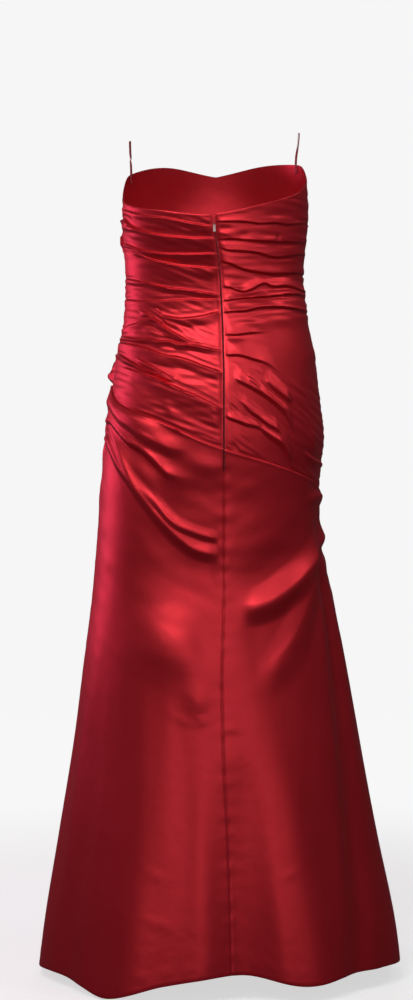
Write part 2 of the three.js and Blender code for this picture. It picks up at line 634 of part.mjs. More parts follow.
function loopPath(loop) {
  const depth = WALL + RIBBON.clear + RIBBON.thick / 2;
  const neckline = edge(NECKLINE, loop.deg);
  const outward = outwardAt(loop.deg, neckline);
  const across = new THREE.Vector3(-outward.y, outward.x, 0);
  const base = movedOut(loop.deg, neckline, -depth);
  const round = loop.apart / 2;
  const bend = loop.top - round;
  const at = (sideways, z) => {
    const rise = smooth((z - neckline) / (bend - neckline));
    return new THREE.Vector3(mix(base.x, loop.x, rise), base.y, z).addScaledVector(across, sideways);
  };
  const strand = (side) => {
    const sewn = [-loop.sewn, -loop.sewn / 2, 0].map((z) => at(side * round, neckline + z));
    const free = [0.25, 0.5, 0.75, 1].map((t) => at(side * round, mix(neckline, bend, t)));
    return [...sewn, ...free];
  };
  const arch = [45, 90, 135].map((deg) =>
    at(-round * Math.cos(radians(deg)), bend + round * Math.sin(radians(deg))),
  );
  return new THREE.CatmullRomCurve3([...strand(-1), ...arch, ...strand(1).reverse()], false, "centripetal");
}
// How far the ribbon is turned about its own length at a height: flat on the wall where it is sewn.
function turned(loop, z) {
  const neckline = edge(NECKLINE, loop.deg);
  const rise = clamp01((z - neckline) / (loop.top - neckline));
  const flat = 90 * (1 - smooth((z - neckline + FLATTENS.below) / FLATTENS.over));
  return radians(flat + loop.twist * smooth((rise - TWISTS.from) / TWISTS.over));
}
function ribbon(loop) {
  const { sides, steps } = RIBBON;
  const path = loopPath(loop);
  const facing = outwardAt(loop.deg, edge(NECKLINE, loop.deg));
  const ring = (t) => {
    const centre = path.getPointAt(t);
    const along = path.getTangentAt(t);
    const level = facing.clone().addScaledVector(along, -along.dot(facing)).normalize();
    const inPlane = new THREE.Vector3().crossVectors(along, level);
    const turn = turned(loop, centre.z);
    const thin = inPlane.clone().multiplyScalar(Math.cos(turn)).addScaledVector(level, Math.sin(turn));
    const wide = new THREE.Vector3().crossVectors(along, thin);
    return Array.from({ length: sides }, (_, k) => {
      const angle = (2 * Math.PI * (k + 0.5)) / sides;
      return centre
        .clone()
        .addScaledVector(wide, (Math.cos(angle) * RIBBON.width) / 2)
        .addScaledVector(thin, (Math.sin(angle) * RIBBON.thick) / 2);
    });
  };
  const rings = Array.from({ length: steps + 1 }, (_, i) => ring(i / steps));
  const index = [];
  for (let i = 0; i < steps; i += 1) {
    for (let k = 0; k < sides; k += 1) {
      const [a, b] = [i * sides + k, i * sides + ((k + 1) % sides)];
      index.push(a, a + sides, b, b, a + sides, b + sides);
    }
  }
  const last = steps * sides;
  for (let k = 1; k < sides - 1; k += 1) {
    index.push(0, k, k + 1);
    index.push(last, last + k + 1, last + k);
  }
  const points = rings.flat().flatMap((p) => p.toArray());
  return new THREE.BufferGeometry()
    .setAttribute("position", new THREE.Float32BufferAttribute(points, 3))
    .setIndex(index);
}
LOOPS.forEach((loop) => add(loop.name, ribbon(loop), satin(0x9c1626)));

export default gown;
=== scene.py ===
import math

import bpy
import numpy as np
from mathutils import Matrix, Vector


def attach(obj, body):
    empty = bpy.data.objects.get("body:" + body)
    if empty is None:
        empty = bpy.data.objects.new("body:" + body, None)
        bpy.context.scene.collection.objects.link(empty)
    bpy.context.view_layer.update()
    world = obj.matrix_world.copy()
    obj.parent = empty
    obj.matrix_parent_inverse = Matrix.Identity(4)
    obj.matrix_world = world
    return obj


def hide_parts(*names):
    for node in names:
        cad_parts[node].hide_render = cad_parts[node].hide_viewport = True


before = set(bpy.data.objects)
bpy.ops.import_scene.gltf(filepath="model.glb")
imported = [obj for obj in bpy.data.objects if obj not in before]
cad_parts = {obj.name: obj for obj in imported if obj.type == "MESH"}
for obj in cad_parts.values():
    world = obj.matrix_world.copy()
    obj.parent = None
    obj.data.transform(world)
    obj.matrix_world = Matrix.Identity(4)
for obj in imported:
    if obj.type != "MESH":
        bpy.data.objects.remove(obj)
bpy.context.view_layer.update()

# Camera. It looks level at the back of the gown from 3.6 m away, a little below the waist, and a
# little left of the middle.
VIEW_DISTANCE = 3.6
VIEW_HEIGHT = -0.3597
VIEW_ACROSS = -0.015675
FRAMED_HEIGHT = 1.65
SENSOR = 36.0
camera = bpy.data.objects.new("camera", bpy.data.cameras.new("camera"))
bpy.context.scene.collection.objects.link(camera)
camera.data.sensor_fit = "AUTO"
camera.data.sensor_width = SENSOR
camera.data.lens = SENSOR * VIEW_DISTANCE / FRAMED_HEIGHT
camera.location = (VIEW_ACROSS, -VIEW_DISTANCE, VIEW_HEIGHT)
camera.rotation_euler = (math.radians(90), 0, 0)
bpy.context.scene.camera = camera


# Studio. A round cove of white paper: a matt floor that curves up into a wall all round, with soft boxes
# on stands. The paper doesn't show in the satin's shine, as if dark cloths hung between the two.
def linear(hex_colour):
    """A painter's sRGB hex colour as linear light."""
    channels = [int(hex_colour[i : i + 2], 16) / 255 for i in (1, 3, 5)]
    return [c / 12.92 if c <= 0.04045 else ((c + 0.055) / 1.055) ** 2.4 for c in channels] + [1.0]


def add_node(tree, kind, settings=None, links=None):
    """Adds a shader node, sets its values and joins outputs, or nodes' first outputs, to its inputs."""
    node = tree.nodes.new(kind)
    for name, value in (settings or {}).items():
        if isinstance(name, str) and hasattr(node, name):
            setattr(node, name, value)
        else:
            node.inputs[name].default_value = value
    for name, source in (links or {}).items():
        output = source if isinstance(source, bpy.types.NodeSocket) else source.outputs[0]
        tree.links.new(output, node.inputs[name])
    return node


def new_material(name):
    """An empty material, its node tree, and the output that gives each point's place in its object."""
    material = bpy.data.materials.new(name)
    material.use_nodes = True
    material.node_tree.nodes.clear()
    place = add_node(material.node_tree, "ShaderNodeTexCoord").outputs["Object"]
    return material, material.node_tree, place


def finish_material(material, shader):
    add_node(material.node_tree, "ShaderNodeOutputMaterial", links={"Surface": shader})
    return material


FLOOR_Z = -1.131
FLOOR_RINGS = (0.001, 1.2, 2.6)  # the first all but closes the middle
COVE_RADIUS = 40.0
CORNER_RADIUS = 8.0
COVE_TOP = 40.0
COVE_SIDES = 96
SHADOW_ZONE = (1.25, 2.4)  # how far from the gown's middle the floor turns to plain white, in metres
PAPER_SHADES = (("#B8B8B8", 0.68), ("#303030", 0.99))  # paint and glow, beside the gown and away from it

# White studio paper, lit from behind. Beside the gown it glows less, so it shows the gown's soft shadow.
paper, tree, place = new_material("lit_white_studio_paper")
away = add_node(tree, "ShaderNodeVectorMath", {"operation": "LENGTH"}, {0: place})
far = add_node(
    tree, "ShaderNodeMapRange",
    {"interpolation_type": "SMOOTHSTEP", "From Min": SHADOW_ZONE[0], "From Max": SHADOW_ZONE[1]},
    {"Value": away.outputs["Value"]},
)
shades = []
for colour, glow in PAPER_SHADES:
    matt = add_node(tree, "ShaderNodeBsdfDiffuse", {"Color": linear(colour)})
    light = add_node(tree, "ShaderNodeEmission", {"Color": linear("#F7F7F7"), "Strength": glow})
    shades.append(add_node(tree, "ShaderNodeAddShader", {}, {0: matt, 1: light}))
finish_material(paper, add_node(tree, "ShaderNodeMixShader", {}, {0: far, 1: shades[0], 2: shades[1]}))

rings = [(r, FLOOR_Z) for r in FLOOR_RINGS]
for bend in (math.radians(degrees) for degrees in range(0, 91, 10)):
    rings.append((
        COVE_RADIUS - CORNER_RADIUS + CORNER_RADIUS * math.sin(bend),
        FLOOR_Z + CORNER_RADIUS * (1 - math.cos(bend)),
    ))
rings += [(COVE_RADIUS, COVE_TOP), (FLOOR_RINGS[0], COVE_TOP)]
turns = [2 * math.pi * i / COVE_SIDES for i in range(COVE_SIDES)]
cove_points = [(r * math.cos(turn), r * math.sin(turn), z) for r, z in rings for turn in turns]
cove_faces = []
for start in range(0, (len(rings) - 1) * COVE_SIDES, COVE_SIDES):
    for i in range(COVE_SIDES):
        a, b = start + i, start + (i + 1) % COVE_SIDES
        cove_faces.append((a, b, b + COVE_SIDES, a + COVE_SIDES))
cove_mesh = bpy.data.meshes.new("studio_cove")
cove_mesh.from_pydata(cove_points, [], cove_faces)
cove_mesh.materials.append(paper)
cove_mesh.shade_smooth()
cove = bpy.data.objects.new("studio_cove", cove_mesh)
bpy.context.scene.collection.objects.link(cove)
cove.visible_glossy = False
cove.visible_diffuse = False

SOFT_BOXES = (
    {"name": "key", "at": (-0.6, -1.95, 1.45), "aim": (0.0, 0.0, -0.1), "size": 1.35, "watts": 29},
    {"name": "front", "at": (0.2, -4.2, 0.6), "aim": (0.0, 0.0, -0.2), "size": 1.8, "watts": 16},
    {"name": "side", "at": (1.5, -0.6, 1.4), "aim": (0.1, -0.1, -0.5), "size": 0.8, "watts": 6.5},
    {"name": "rim", "at": (-2.2, 0.9, 0.1), "aim": (-0.1, 0.0, -0.4), "size": 1.2, "watts": 12,
     "tint": "#FFB4EE"},
    {"name": "far", "at": (0.1, 3.6, 1.2), "aim": (0.0, 0.0, -0.3), "size": 1.8, "watts": 24},
)
for box in SOFT_BOXES:
    lamp = bpy.data.lights.new("soft_box_" + box["name"], "AREA")
    lamp.shape = "DISK"
    lamp.size = box["size"]
    lamp.energy = box["watts"]
    lamp.color = linear(box.get("tint", "#FFFFFF"))[:3]
    stand = bpy.data.objects.new("soft_box_" + box["name"], lamp)
    stand.location = box["at"]
    stand.rotation_euler = (Vector(box["aim"]) - Vector(box["at"])).to_track_quat("-Z", "Y").to_euler()
    stand.visible_camera = False
    bpy.context.scene.collection.objects.link(stand)
world = bpy.data.worlds.new("room")
world.use_nodes = True
background = world.node_tree.nodes["Background"]
background.inputs["Color"].default_value = linear("#8A8A8C")
background.inputs["Strength"].default_value = 0.24
bpy.context.scene.world = world
bpy.context.scene.view_settings.view_transform = "Standard"


# Back left bodice panel. Duchess satin cut long and gathered into tucks over a plain underlining, then
# sewn into the side seam, along the zip and into the dropped waist. It covers the wearer's left back.
FIGURE = ("z", "left", "right", "back", "front", "seam")
SECTIONS = (  # the figure in mm: a height, the half widths and depths there, and the back seam's place
    (215, 150, 146, 113, 116, -6),
    (165, 154, 150, 113, 122, -6),
    (112, 154, 152, 111, 122, -5),
    (80, 153, 150, 108, 120, -3),
    (42, 151, 146, 103, 113, 2),
    (0, 149, 144, 98, 104, 6),
    (-36, 150, 148, 101, 103, 8),
    (-79, 154, 154, 111, 106, 10),
    (-119, 163, 163, 123, 110, 11),
    (-160, 169, 167, 135, 113, 12),
    (-200, 176, 172, 143, 115, 12),
    (-257, 182, 178, 148, 117, 12),
    (-317, 188, 171, 148, 119, 12),
    (-376, 193, 170, 147, 122, 12),
    (-436, 197, 174, 150, 127, 12),
    (-515, 204, 192, 158, 136, 12),
    (-620, 217, 210, 174, 153, 9),
    (-760, 233, 235, 198, 179, 11),
    (-900, 254, 262, 225, 206, 19),
    (-1040, 276, 292, 254, 235, 23),
    (-1125, 286, 303, 271, 252, 24),
)
SQUARENESS = 0.1
BUST = {"x": 72, "z": 112, "out": 13, "wide": 50, "high": 62}
NECKLINE = {  # height at each angle round from the centre back, towards the wearer's right
    -180: 190, -150: 204, -120: 190, -106: 177, -90: 142, -60: 118, -30: 106, 0: 98, 30: 116,
    60: 139, 76: 157, 90: 174, 106: 196, 120: 203, 150: 206, 180: 190,
}
DROPPED_WAIST = {
    -180: -258, -135: -212, -90: -170, -60: -203, -30: -231, 0: -274, 30: -303, 60: -326,
    90: -344, 135: -306, 180: -258,
}
WALL = 1.6
SEAM_GAP = 0.3
SEWN_GAP = 0.06  # sewn edges all but touch
UNDERLAP = 6  # the bodice reaches this far down behind the skirt
ZIP_SLOT = 3.0
ZIP_END = -322
SLOT_CLOSES = 12  # the slot beside the zip closes over this height above the zip's end
MM = 0.001


def smooth(t):
    t = np.clip(t, 0, 1)
    return t * t * (3 - 2 * t)


def cubic(t, start, end, start_slope, end_slope, span=1):
    """A curve from start to end as t goes from 0 to 1, with the slope given at each over a span."""
    return (
        (2 * t**3 - 3 * t**2 + 1) * start
        + (t**3 - 2 * t**2 + t) * span * start_slope
        + (3 * t**2 - 2 * t**3) * end
        + (t**3 - t**2) * span * end_slope
    )


def through(knots, values, at):
    """A smooth curve through values given at rising knots."""
    knots, values = np.asarray(knots, float), np.asarray(values, float)
    chord = np.diff(values) / np.diff(knots)
    slopes = np.concatenate([chord[:1], (chord[:-1] + chord[1:]) / 2, chord[-1:]])
    i = np.clip(np.searchsorted(knots, at) - 1, 0, len(knots) - 2)
    span = knots[i + 1] - knots[i]
    t = np.clip((at - knots[i]) / span, 0, 1)
    return cubic(t, values[i], values[i + 1], slopes[i], slopes[i + 1], span)


columns = dict(zip(FIGURE, zip(*reversed(SECTIONS))))


def section(z, key):
    return through(columns["z"], columns[key], z)


def edge_height(edge, deg):
    wrapped = (np.asarray(deg, float) + 180) % 360 - 180
    return through(list(edge), list(edge.values()), wrapped)


def squarer(u):
    return u * (1 + SQUARENESS * (1 - u * u))


def figure(deg, z):
    """The smooth form under the folds, at an angle round from the centre back and a height."""
    across, along = squarer(np.sin(np.radians(deg))), squarer(np.cos(np.radians(deg)))
    x = across * np.where(across < 0, section(z, "left"), section(z, "right"))
    y = -along * np.where(along < 0, section(z, "front"), section(z, "back"))
    rise = np.exp(-(((z - BUST["z"]) / BUST["high"]) ** 2))
    cups = sum(np.exp(-(((x - side * BUST["x"]) / BUST["wide"]) ** 2)) for side in (-1, 1))
    return x, y + BUST["out"] * rise * cups * smooth(-2 * along)


def moved_out(deg, z, out):
    """Points on the figure, moved out level by a distance."""
    step = 0.5
    ahead_x, ahead_y = figure(deg + step, z)
    behind_x, behind_y = figure(deg - step, z)
    out_x, out_y = ahead_y - behind_y, behind_x - ahead_x
    length = np.hypot(out_x, out_y)
    x, y = figure(deg, z)
    return np.stack([x + out * out_x / length, y + out * out_y / length, z + 0 * x], axis=-1)


def seam_angle(z):
    return np.degrees(np.arcsin(section(z, "seam") / section(z, "right") / (1 + SQUARENESS)))


def angle_of(length, z):
    return np.degrees(length / section(z, "left") / (1 + SQUARENESS))


def half_slot(z):
    """Half the gap between the back panels: a slot beside the zip, and sewn shut below its end."""
    opened = smooth((z - ZIP_END) / SLOT_CLOSES)
    return SEWN_GAP / 2 + (ZIP_SLOT - SEWN_GAP) / 2 * opened


def quarter_angle(side):
    """How a back panel's share, 0 at the centre back and 1 at its side seam, lies round the gown."""

    def angle(share, z):
        start = seam_angle(z) + side * angle_of(half_slot(z), z)
        end = side * (90 - angle_of(SEWN_GAP / 2, z))
        return start + (end - start) * share

    return angle


def front_angle(share, z):
    start = 90 + angle_of(SEWN_GAP / 2, z)
    return start + (360 - 2 * start) * share


VALLEY = 0.35  # how far the cloth sinks in beyond a fold's sharp side, as a share of the fold's height
VALLEY_REACH = 2.6  # how far the valley goes on, as a share of the sharp side's reach
EASE = 10  # how far along a crest its slope is averaged, in mm
TILE_CURVE = 1.3  # over 1, a tile fold swells out faster near its crest
FALL_CURVE = 1.5  # over 1, a plain fold's fall is steeper near its crest
PILLOW_SCALE = 6.75  # makes a pillow's highest point 1
STEEPEST = 0.35  # the least lean that a swelling is stretched for


def sharp_side(distance, reach):
    """A fold's height on its sharp side: 1 at the crest, then a shallow valley, then nothing."""
    valley = VALLEY * smooth((distance - reach) / (VALLEY_REACH * reach))
    return 1 - (1 + VALLEY) * smooth(distance / reach) + valley


def fold(crest, out, rise, fall, fade=(0, 0), tile=False):
    """A tuck or swag: the places across and heights that its crest runs through, how far it stands out at
    its start, middle and end, its reach above and below the crest, and over what length it starts and
    ends. All in mm."""
    return {"crest": crest, "out": out, "rise": rise, "fall": fall, "fade": fade, "tile": tile}


def fold_out(folds, across, z, lean, crisp=0.75, pillow=0.0):
    """How far a table of folds stands out. A plain fold has its sharp side above its crest, scaled by
    crisp, and a long fall below it, which pillow swells. A tile fold lies like a roof tile: it swells
    slowly down to its crest and turns under there. Lean is how steeply the cloth turns away."""
    total = np.zeros_like(z)
    for part in folds:
        xs, zs = zip(*part["crest"])
        crest = through(xs, zs, across)
        ahead, behind = through(xs, zs, across + EASE), through(xs, zs, across - EASE)
        slope = (ahead - behind) / (2 * EASE) * lean
        up = (z - crest) / np.sqrt(1 + slope**2)
        if part["tile"]:
            above = (1 - np.clip(up / part["rise"], 0, 1)) ** TILE_CURVE
            below = sharp_side(-up, part["fall"])
        else:
            above = sharp_side(up, crisp * part["rise"])
            down = np.clip(-up / part["fall"], 0, 1)
            below = (1 - down) ** FALL_CURVE + pillow * PILLOW_SCALE * down * (1 - down) ** 2
        share = (across - xs[0]) / (xs[-1] - xs[0])
        amount = through([0, 0.5, 1], part["out"], np.clip(share, 0, 1))
        start, end = part["fade"]
        if start:
            amount = amount * smooth((across - xs[0]) / start)
        if end:
            amount = amount * smooth((xs[-1] - across) / end)
        total += amount * np.where(up > 0, above, below)
    return total


def swell_out(swells, across, z, lean):
    """How far a table of soft swellings or hollows stands out. A row gives a place, how far the cloth
    stands out or in there, the half length and half width, and a turn in degrees."""
    total = np.zeros_like(z)
    for (middle, height), out, long, thick, degrees in swells:
        turn = math.radians(degrees)
        dx = (across - middle) / np.maximum(lean, STEEPEST)
        dz = z - height
        along = dx * math.cos(turn) + dz * math.sin(turn)
        beside = -dx * math.sin(turn) + dz * math.cos(turn)
        total += out * np.exp(-((along / long) ** 2) - (beside / thick) ** 2)
    return total


def crushed(seed, along, beside, long_mm, short_mm, count=26):
    """Soft uneven streaks, about 1 at their height, longer one way than the other."""
    rng = np.random.default_rng(seed)
    total = 0
    for _ in range(count):
        wave_long = 2 * np.pi / (long_mm * rng.uniform(0.6, 2.2)) * rng.choice((-1, 1))
        wave_short = 2 * np.pi / (short_mm * rng.uniform(0.7, 1.8))
        total = total + np.cos(along * wave_long + beside * wave_short + rng.uniform(0, 2 * np.pi))
    return total * math.sqrt(2 / count) * 0.7


EDGE_STOPS = (0, 0.6, 1.4, 2.4, 3.8)  # closer points beside an edge that is turned under, in mm
FIRST_STOP = 5.5


def stops(length, step):
    """Shares of a length, about a step apart, with closer ones at both ends."""
    inner_count = max(3, int(round((length - 2 * FIRST_STOP) / step)))
    inner = np.linspace(FIRST_STOP, length - FIRST_STOP, inner_count)
    return np.concatenate([EDGE_STOPS, inner, [length - c for c in reversed(EDGE_STOPS)]]) / length


def shell_mesh(name, outer, inner, relief=None):
    """A closed thin shell between two grids of points in mm, columns first, faces out. Each square is
    cut along the diagonal that its relief changes less on, so that slanting folds stay smooth."""
    columns, rows = outer.shape[:2]
    points = np.concatenate([outer.reshape(-1, 3), inner.reshape(-1, 3)]) * MM
    grid = np.arange(columns * rows).reshape(columns, rows)
    back = grid + columns * rows
    height = np.zeros((columns, rows)) if relief is None else relief
    one_way = np.abs(height[1:, 1:] - height[:-1, :-1]) <= np.abs(height[1:, :-1] - height[:-1, 1:])

    def halves(a, b, c, d):
        first = np.where(one_way.ravel()[:, None], np.stack([a, b, c], -1), np.stack([a, b, d], -1))
        second = np.where(one_way.ravel()[:, None], np.stack([a, c, d], -1), np.stack([b, c, d], -1))
        return [first, second]

    def edge_halves(a, b, c, d):
        return [np.stack([a, b, c], -1), np.stack([a, c, d], -1)]

    def corners(sheet):
        near, far = sheet[:-1], sheet[1:]
        return near[:, :-1].ravel(), near[:, 1:].ravel(), far[:, 1:].ravel(), far[:, :-1].ravel()

    faces = halves(*corners(grid))
    faces += [half[:, ::-1] for half in halves(*corners(back))]
    faces += edge_halves(grid[:-1, 0], grid[1:, 0], back[1:, 0], back[:-1, 0])
    faces += edge_halves(grid[:-1, -1], back[:-1, -1], back[1:, -1], grid[1:, -1])
    faces += edge_halves(grid[0, :-1], back[0, :-1], back[0, 1:], grid[0, 1:])
    faces += edge_halves(grid[-1, :-1], grid[-1, 1:], back[-1, 1:], back[-1, :-1])
    faces = np.concatenate(faces)
    mesh = bpy.data.meshes.new(name)
    mesh.vertices.add(len(points))
    mesh.vertices.foreach_set("co", points.ravel())
    mesh.loops.add(faces.size)
    mesh.loops.foreach_set("vertex_index", faces.ravel())
    mesh.polygons.add(len(faces))
    mesh.polygons.foreach_set("loop_start", np.arange(0, faces.size, 3))
    mesh.update(calc_edges=True)
    mesh.validate()
    mesh.shade_smooth()
    mesh.set_sharp_from_angle(angle=math.radians(60))
    return mesh


def add_piece(mesh, material, node):
    """A visible piece, named like its mesh, that rides on the gown and takes the place of a solid."""
    mesh.materials.append(material)
    piece = bpy.data.objects.new(mesh.name, mesh)
    bpy.context.scene.collection.objects.link(piece)
    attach(piece, "gown")
    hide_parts(node)
    return piece


# Duchess satin: dense polyester satin, piece-dyed red and pressed. Long warp floats run down the cloth, so
# each highlight spreads level across it and a fold changes quickly from bright to deep red. A little sheen
# gives pink light along edges that turn away.
THREAD_MM = 0.35  # drawn coarser than the real thread of 0.1 mm, so that it shows close up
FLOAT_RUN = 40  # how many times longer than wide a float is drawn
threads_per_m = 1 / (THREAD_MM * MM)

satin, tree, place = new_material("red_duchess_satin")
threads_at = add_node(
    tree, "ShaderNodeMapping", {"Scale": (threads_per_m, threads_per_m, threads_per_m / FLOAT_RUN)},
    {"Vector": place},
)
threads = add_node(tree, "ShaderNodeTexNoise", {"Scale": 1.0, "Detail": 1.0}, {"Vector": threads_at})
cloud = add_node(tree, "ShaderNodeTexNoise", {"Scale": 14.0, "Detail": 2.0}, {"Vector": place})
dye = add_node(
    tree, "ShaderNodeMix", {"data_type": "RGBA", 6: linear("#D0242F"), 7: linear("#E12B38")}, {0: cloud}
)
crumple = add_node(
    tree, "ShaderNodeTexNoise", {"Scale": 60.0, "Detail": 2.0, "Roughness": 0.45}, {"Vector": place}
)
soft_bump = add_node(tree, "ShaderNodeBump", {"Strength": 0.25, "Distance": 0.0012}, {"Height": crumple})
thread_bump = add_node(
    tree, "ShaderNodeBump", {"Strength": 0.12, "Distance": 0.0001},
    {"Height": threads, "Normal": soft_bump},
)
face = add_node(tree, "ShaderNodeNewGeometry")
level = add_node(
    tree, "ShaderNodeVectorMath", {"operation": "CROSS_PRODUCT", 0: (0, 0, 1)}, {1: face.outputs["Normal"]}
)
shader = add_node(
    tree, "ShaderNodeBsdfPrincipled",
    {"Metallic": 0.7, "Roughness": 0.42, "IOR": 1.5, "Anisotropic": 0.6, "Sheen Weight": 0.04,
     "Sheen Roughness": 0.4, "Sheen Tint": linear("#FF6A8E")},
    {"Base Color": dye.outputs[2], "Normal": thread_bump, "Tangent": level},
)
finish_material(satin, shader)


def satin_panel(node, walls):
    """A panel of the gown, made from its outer and inner points and its relief."""
    return add_piece(shell_mesh(node + "_cloth", *walls), satin, node)


LEFT_TUCKS = (
    fold(((-150, 113), (-135, 105), (-101, 95), (-76, 91), (-42, 83), (-12, 78)), (1.5, 3, 3), 3, 14),
    fold(((-150, 98), (-135, 82), (-111, 71), (-76, 63), (-39, 59), (-10, 58)), (6, 6, 4), 4, 22),
    fold(((-149, 58), (-127, 46), (-96, 37), (-52, 34), (-5, 34)), (3, 4.5, 4), 3, 12),
    fold(((-149, 51), (-127, 39), (-108, 29), (-78, 20), (-47, 15), (-2, 11)), (1, 4, 4.5), 3, 30),
    fold(((-149, 2), (-127, -6), (-104, -12), (-78, -19), (-47, -23), (-2, -31)), (2, 4, 4), 3, 9),
    fold(((-150, -33), (-122, -39), (-92, -40), (-47, -39), (-2, -39)), (1.5, 3, 3), 2.5, 16),
    fold(((-127, -52), (-110, -60), (-92, -71)), (2, 2.5, 2), 3, 8, fade=(10, 10)),
    fold(((-98, -51), (-85, -67)), (2, 2, 2), 3, 6, fade=(5, 5)),
    fold(((-92, -64), (-58, -70), (-26, -67), (4, -60)), (2, 5, 4), 4, 15, fade=(14, 0)),
    fold(((-150, -80), (-129, -75), (-102, -69), (-91, -75), (-79, -86), (-61, -97), (-41, -108),
         (-20, -110)), (3, 5, 3), 3, 13, fade=(0, 16)),
    fold(((-152, -95), (-129, -101), (-108, -101), (-93, -106), (-75, -106), (-61, -111), (-41, -113),
         (2, -122)), (3, 4.5, 4), 3, 10),
    fold(((-156, -104), (-122, -114), (-101, -122), (-81, -130), (-61, -133), (-42, -139), (-21, -148),
         (6, -157)), (3, 5, 5), 3.5, 18),
    fold(((-130, -131), (-104, -146), (-93, -152), (-77, -162), (-62, -169)), (3, 4, 2), 3, 12,
         fade=(12, 12)),
    fold(((-160, -122), (-136, -139), (-114, -152), (-88, -161), (-64, -174)), (4, 4, 1.5), 3, 11,
         fade=(0, 14)),
    fold(((-150, -146), (-114, -160), (-95, -168), (-74, -177), (-55, -186), (-35, -194), (-15, -204),
         (6, -214)), (2, 6, 5.5), 3.5, 34, fade=(16, 0)),
)
LEFT_SWELLS = (  # rows as swell_out takes them
    ((-140, 89), -2.0, 14, 5, -35),
    ((-17, 74), 0.8, 12, 6, 0),
    ((-12, 3), 1.4, 16, 6, -12),
    ((-68, 2), 1.0, 26, 7, -10),
    ((-43, -88), -1.8, 17, 3.5, -33),
    ((-13, -89), -1.8, 20, 3.5, -20),
    ((-107, -88), 1.4, 17, 5, -25),
    ((-85, -149), -2.2, 20, 5, -8),
    ((-74, -216), 1.8, 15, 9, -60),
    ((-2, -235), 1.2, 14, 8, -35),
    ((-118, -178), -1.6, 30, 9, -25),
)
EAR = {"z": -157, "out": 9, "above": 34, "below": 13, "reach": 18}  # the last tuck's loose corner


def level_arc(z):
    return np.pi / 2 * section(z, "left")


def ear_out(distance, z):
    rise = z - EAR["z"]
    bump = 1 - smooth(np.where(rise > 0, rise / EAR["above"], -rise / EAR["below"]))
    return EAR["out"] * bump * (1 - smooth(distance / EAR["reach"]))


PUCKER_OUT = 0.3
PUCKER_REACH = 9
CAUGHT = 0.35  # how much of a tuck's height is left at the side seam that it is sewn into
CAUGHT_REACH = 34
UNDERLINING = 0.5


def seam_puckers(distance, z, pitch):
    """Small uneven gathers beside a seam, which die away from it."""
    wave = np.sin(2 * np.pi * z / pitch) + 0.6 * np.sin(2 * np.pi * z / (pitch * 1.63) + 1.3)
    return PUCKER_OUT * wave * np.exp(-distance / PUCKER_REACH)


def caught(distance):
    return CAUGHT + (1 - CAUGHT) * smooth(distance / CAUGHT_REACH)


TURNED = {  # how deep each kind of edge turns in, and how far from the edge that starts, in mm
    "zip": (1.6, 5.5), "side": (0.9, 2.2), "waist": (1.0, 4.5), "top": (0.5, 2.0),
    "skirt_seam": (0.8, 3.0), "skirt_top": (1.2, 1.4), "hem": (0.5, 1.5),
}


def turned_under(distance, edge):
    depth, reach = TURNED[edge]
    return -depth * (1 - smooth(distance / reach))


def held_off(out):
    """Hollows that stop short of the underlining, softly."""
    deepest = WALL - UNDERLINING
    return np.where(out < 0, -deepest * np.tanh(-out / deepest), out)


BODICE_STEP = (2.1, 1.05)  # how far apart a back panel's points stand, level and down it
BACK_SIZE = (235, 420)  # about how wide and long a back panel is
CALM = {"top": 7, "waist": 4, "zip": 13, "puckers": 10}  # how far from an edge the relief starts in full
AT_ZIP = 0.1  # how much of a tuck's height is left at the zip
STREAKS_OUT = 0.3


def bodice_grid(shares, downs, angle):
    """Each point's share across a bodice panel, its height, its angle round the gown, its distances from
    the top and the waist, and how free the cloth is there to stand out."""
    edge_angle = angle(shares, np.zeros_like(shares))
    top = edge_height(NECKLINE, edge_angle)
    bottom = edge_height(DROPPED_WAIST, edge_angle) - UNDERLAP
    share = shares[:, None] + 0 * downs[None, :]
    z = top[:, None] + (bottom - top)[:, None] * downs[None, :]
    from_top = downs[None, :] * (top - bottom)[:, None]
    from_waist = (1 - downs[None, :]) * (top - bottom)[:, None] - UNDERLAP
    free = smooth(from_top / CALM["top"]) * smooth(from_waist / CALM["waist"])
    return share, z, angle(share, z), from_top, from_waist, free


def bodice_walls(deg, z, out, from_top, from_waist):
    """A bodice panel's outer and inner points, with its top and waist turned under, and its relief."""
    out = held_off(out + (turned_under(from_waist, "waist") + turned_under(from_top, "top")))
    return moved_out(deg, z, out), moved_out(deg, z, -WALL + 0 * out), out


def back_bodice(side, folds, swells, streaks, pillow):
    """The walls of a back bodice panel. Side is -1 on the left, which has the ear, and 1 on the right."""
    shares, downs = (stops(size, step) for size, step in zip(BACK_SIZE, BODICE_STEP))
    share, z, deg, from_top, from_waist, free = bodice_grid(shares[::side], downs, quarter_angle(side))
    across, _ = figure(deg, z)
    lean = np.cos(np.radians(deg))
    from_zip = share * level_arc(z)
    from_side = (1 - share) * level_arc(z)
    out = caught(from_side) * fold_out(folds, across, z, lean, crisp=1.0, pillow=pillow)
    out += swell_out(swells, across, z, lean) + streaks(across, z)
    out = free * (AT_ZIP + (1 - AT_ZIP) * smooth(from_zip / CALM["zip"])) * out
    if side < 0:
        out += ear_out(from_side, z)
    puckers = seam_puckers(from_side, z, pitch=13)
    out += puckers * smooth(from_top / CALM["puckers"]) * smooth(from_waist / CALM["puckers"])
    out += turned_under(from_zip, "zip") + turned_under(from_side, "side")
    return bodice_walls(deg, z, out, from_top, from_waist)


def left_streaks(across, z):
    return STREAKS_OUT * crushed(3, across, z + 0.28 * across, long_mm=70, short_mm=13)


bodice_back_left = satin_panel(
    "bodice_back_left", back_bodice(-1, LEFT_TUCKS, LEFT_SWELLS, left_streaks, pillow=0.1)
)

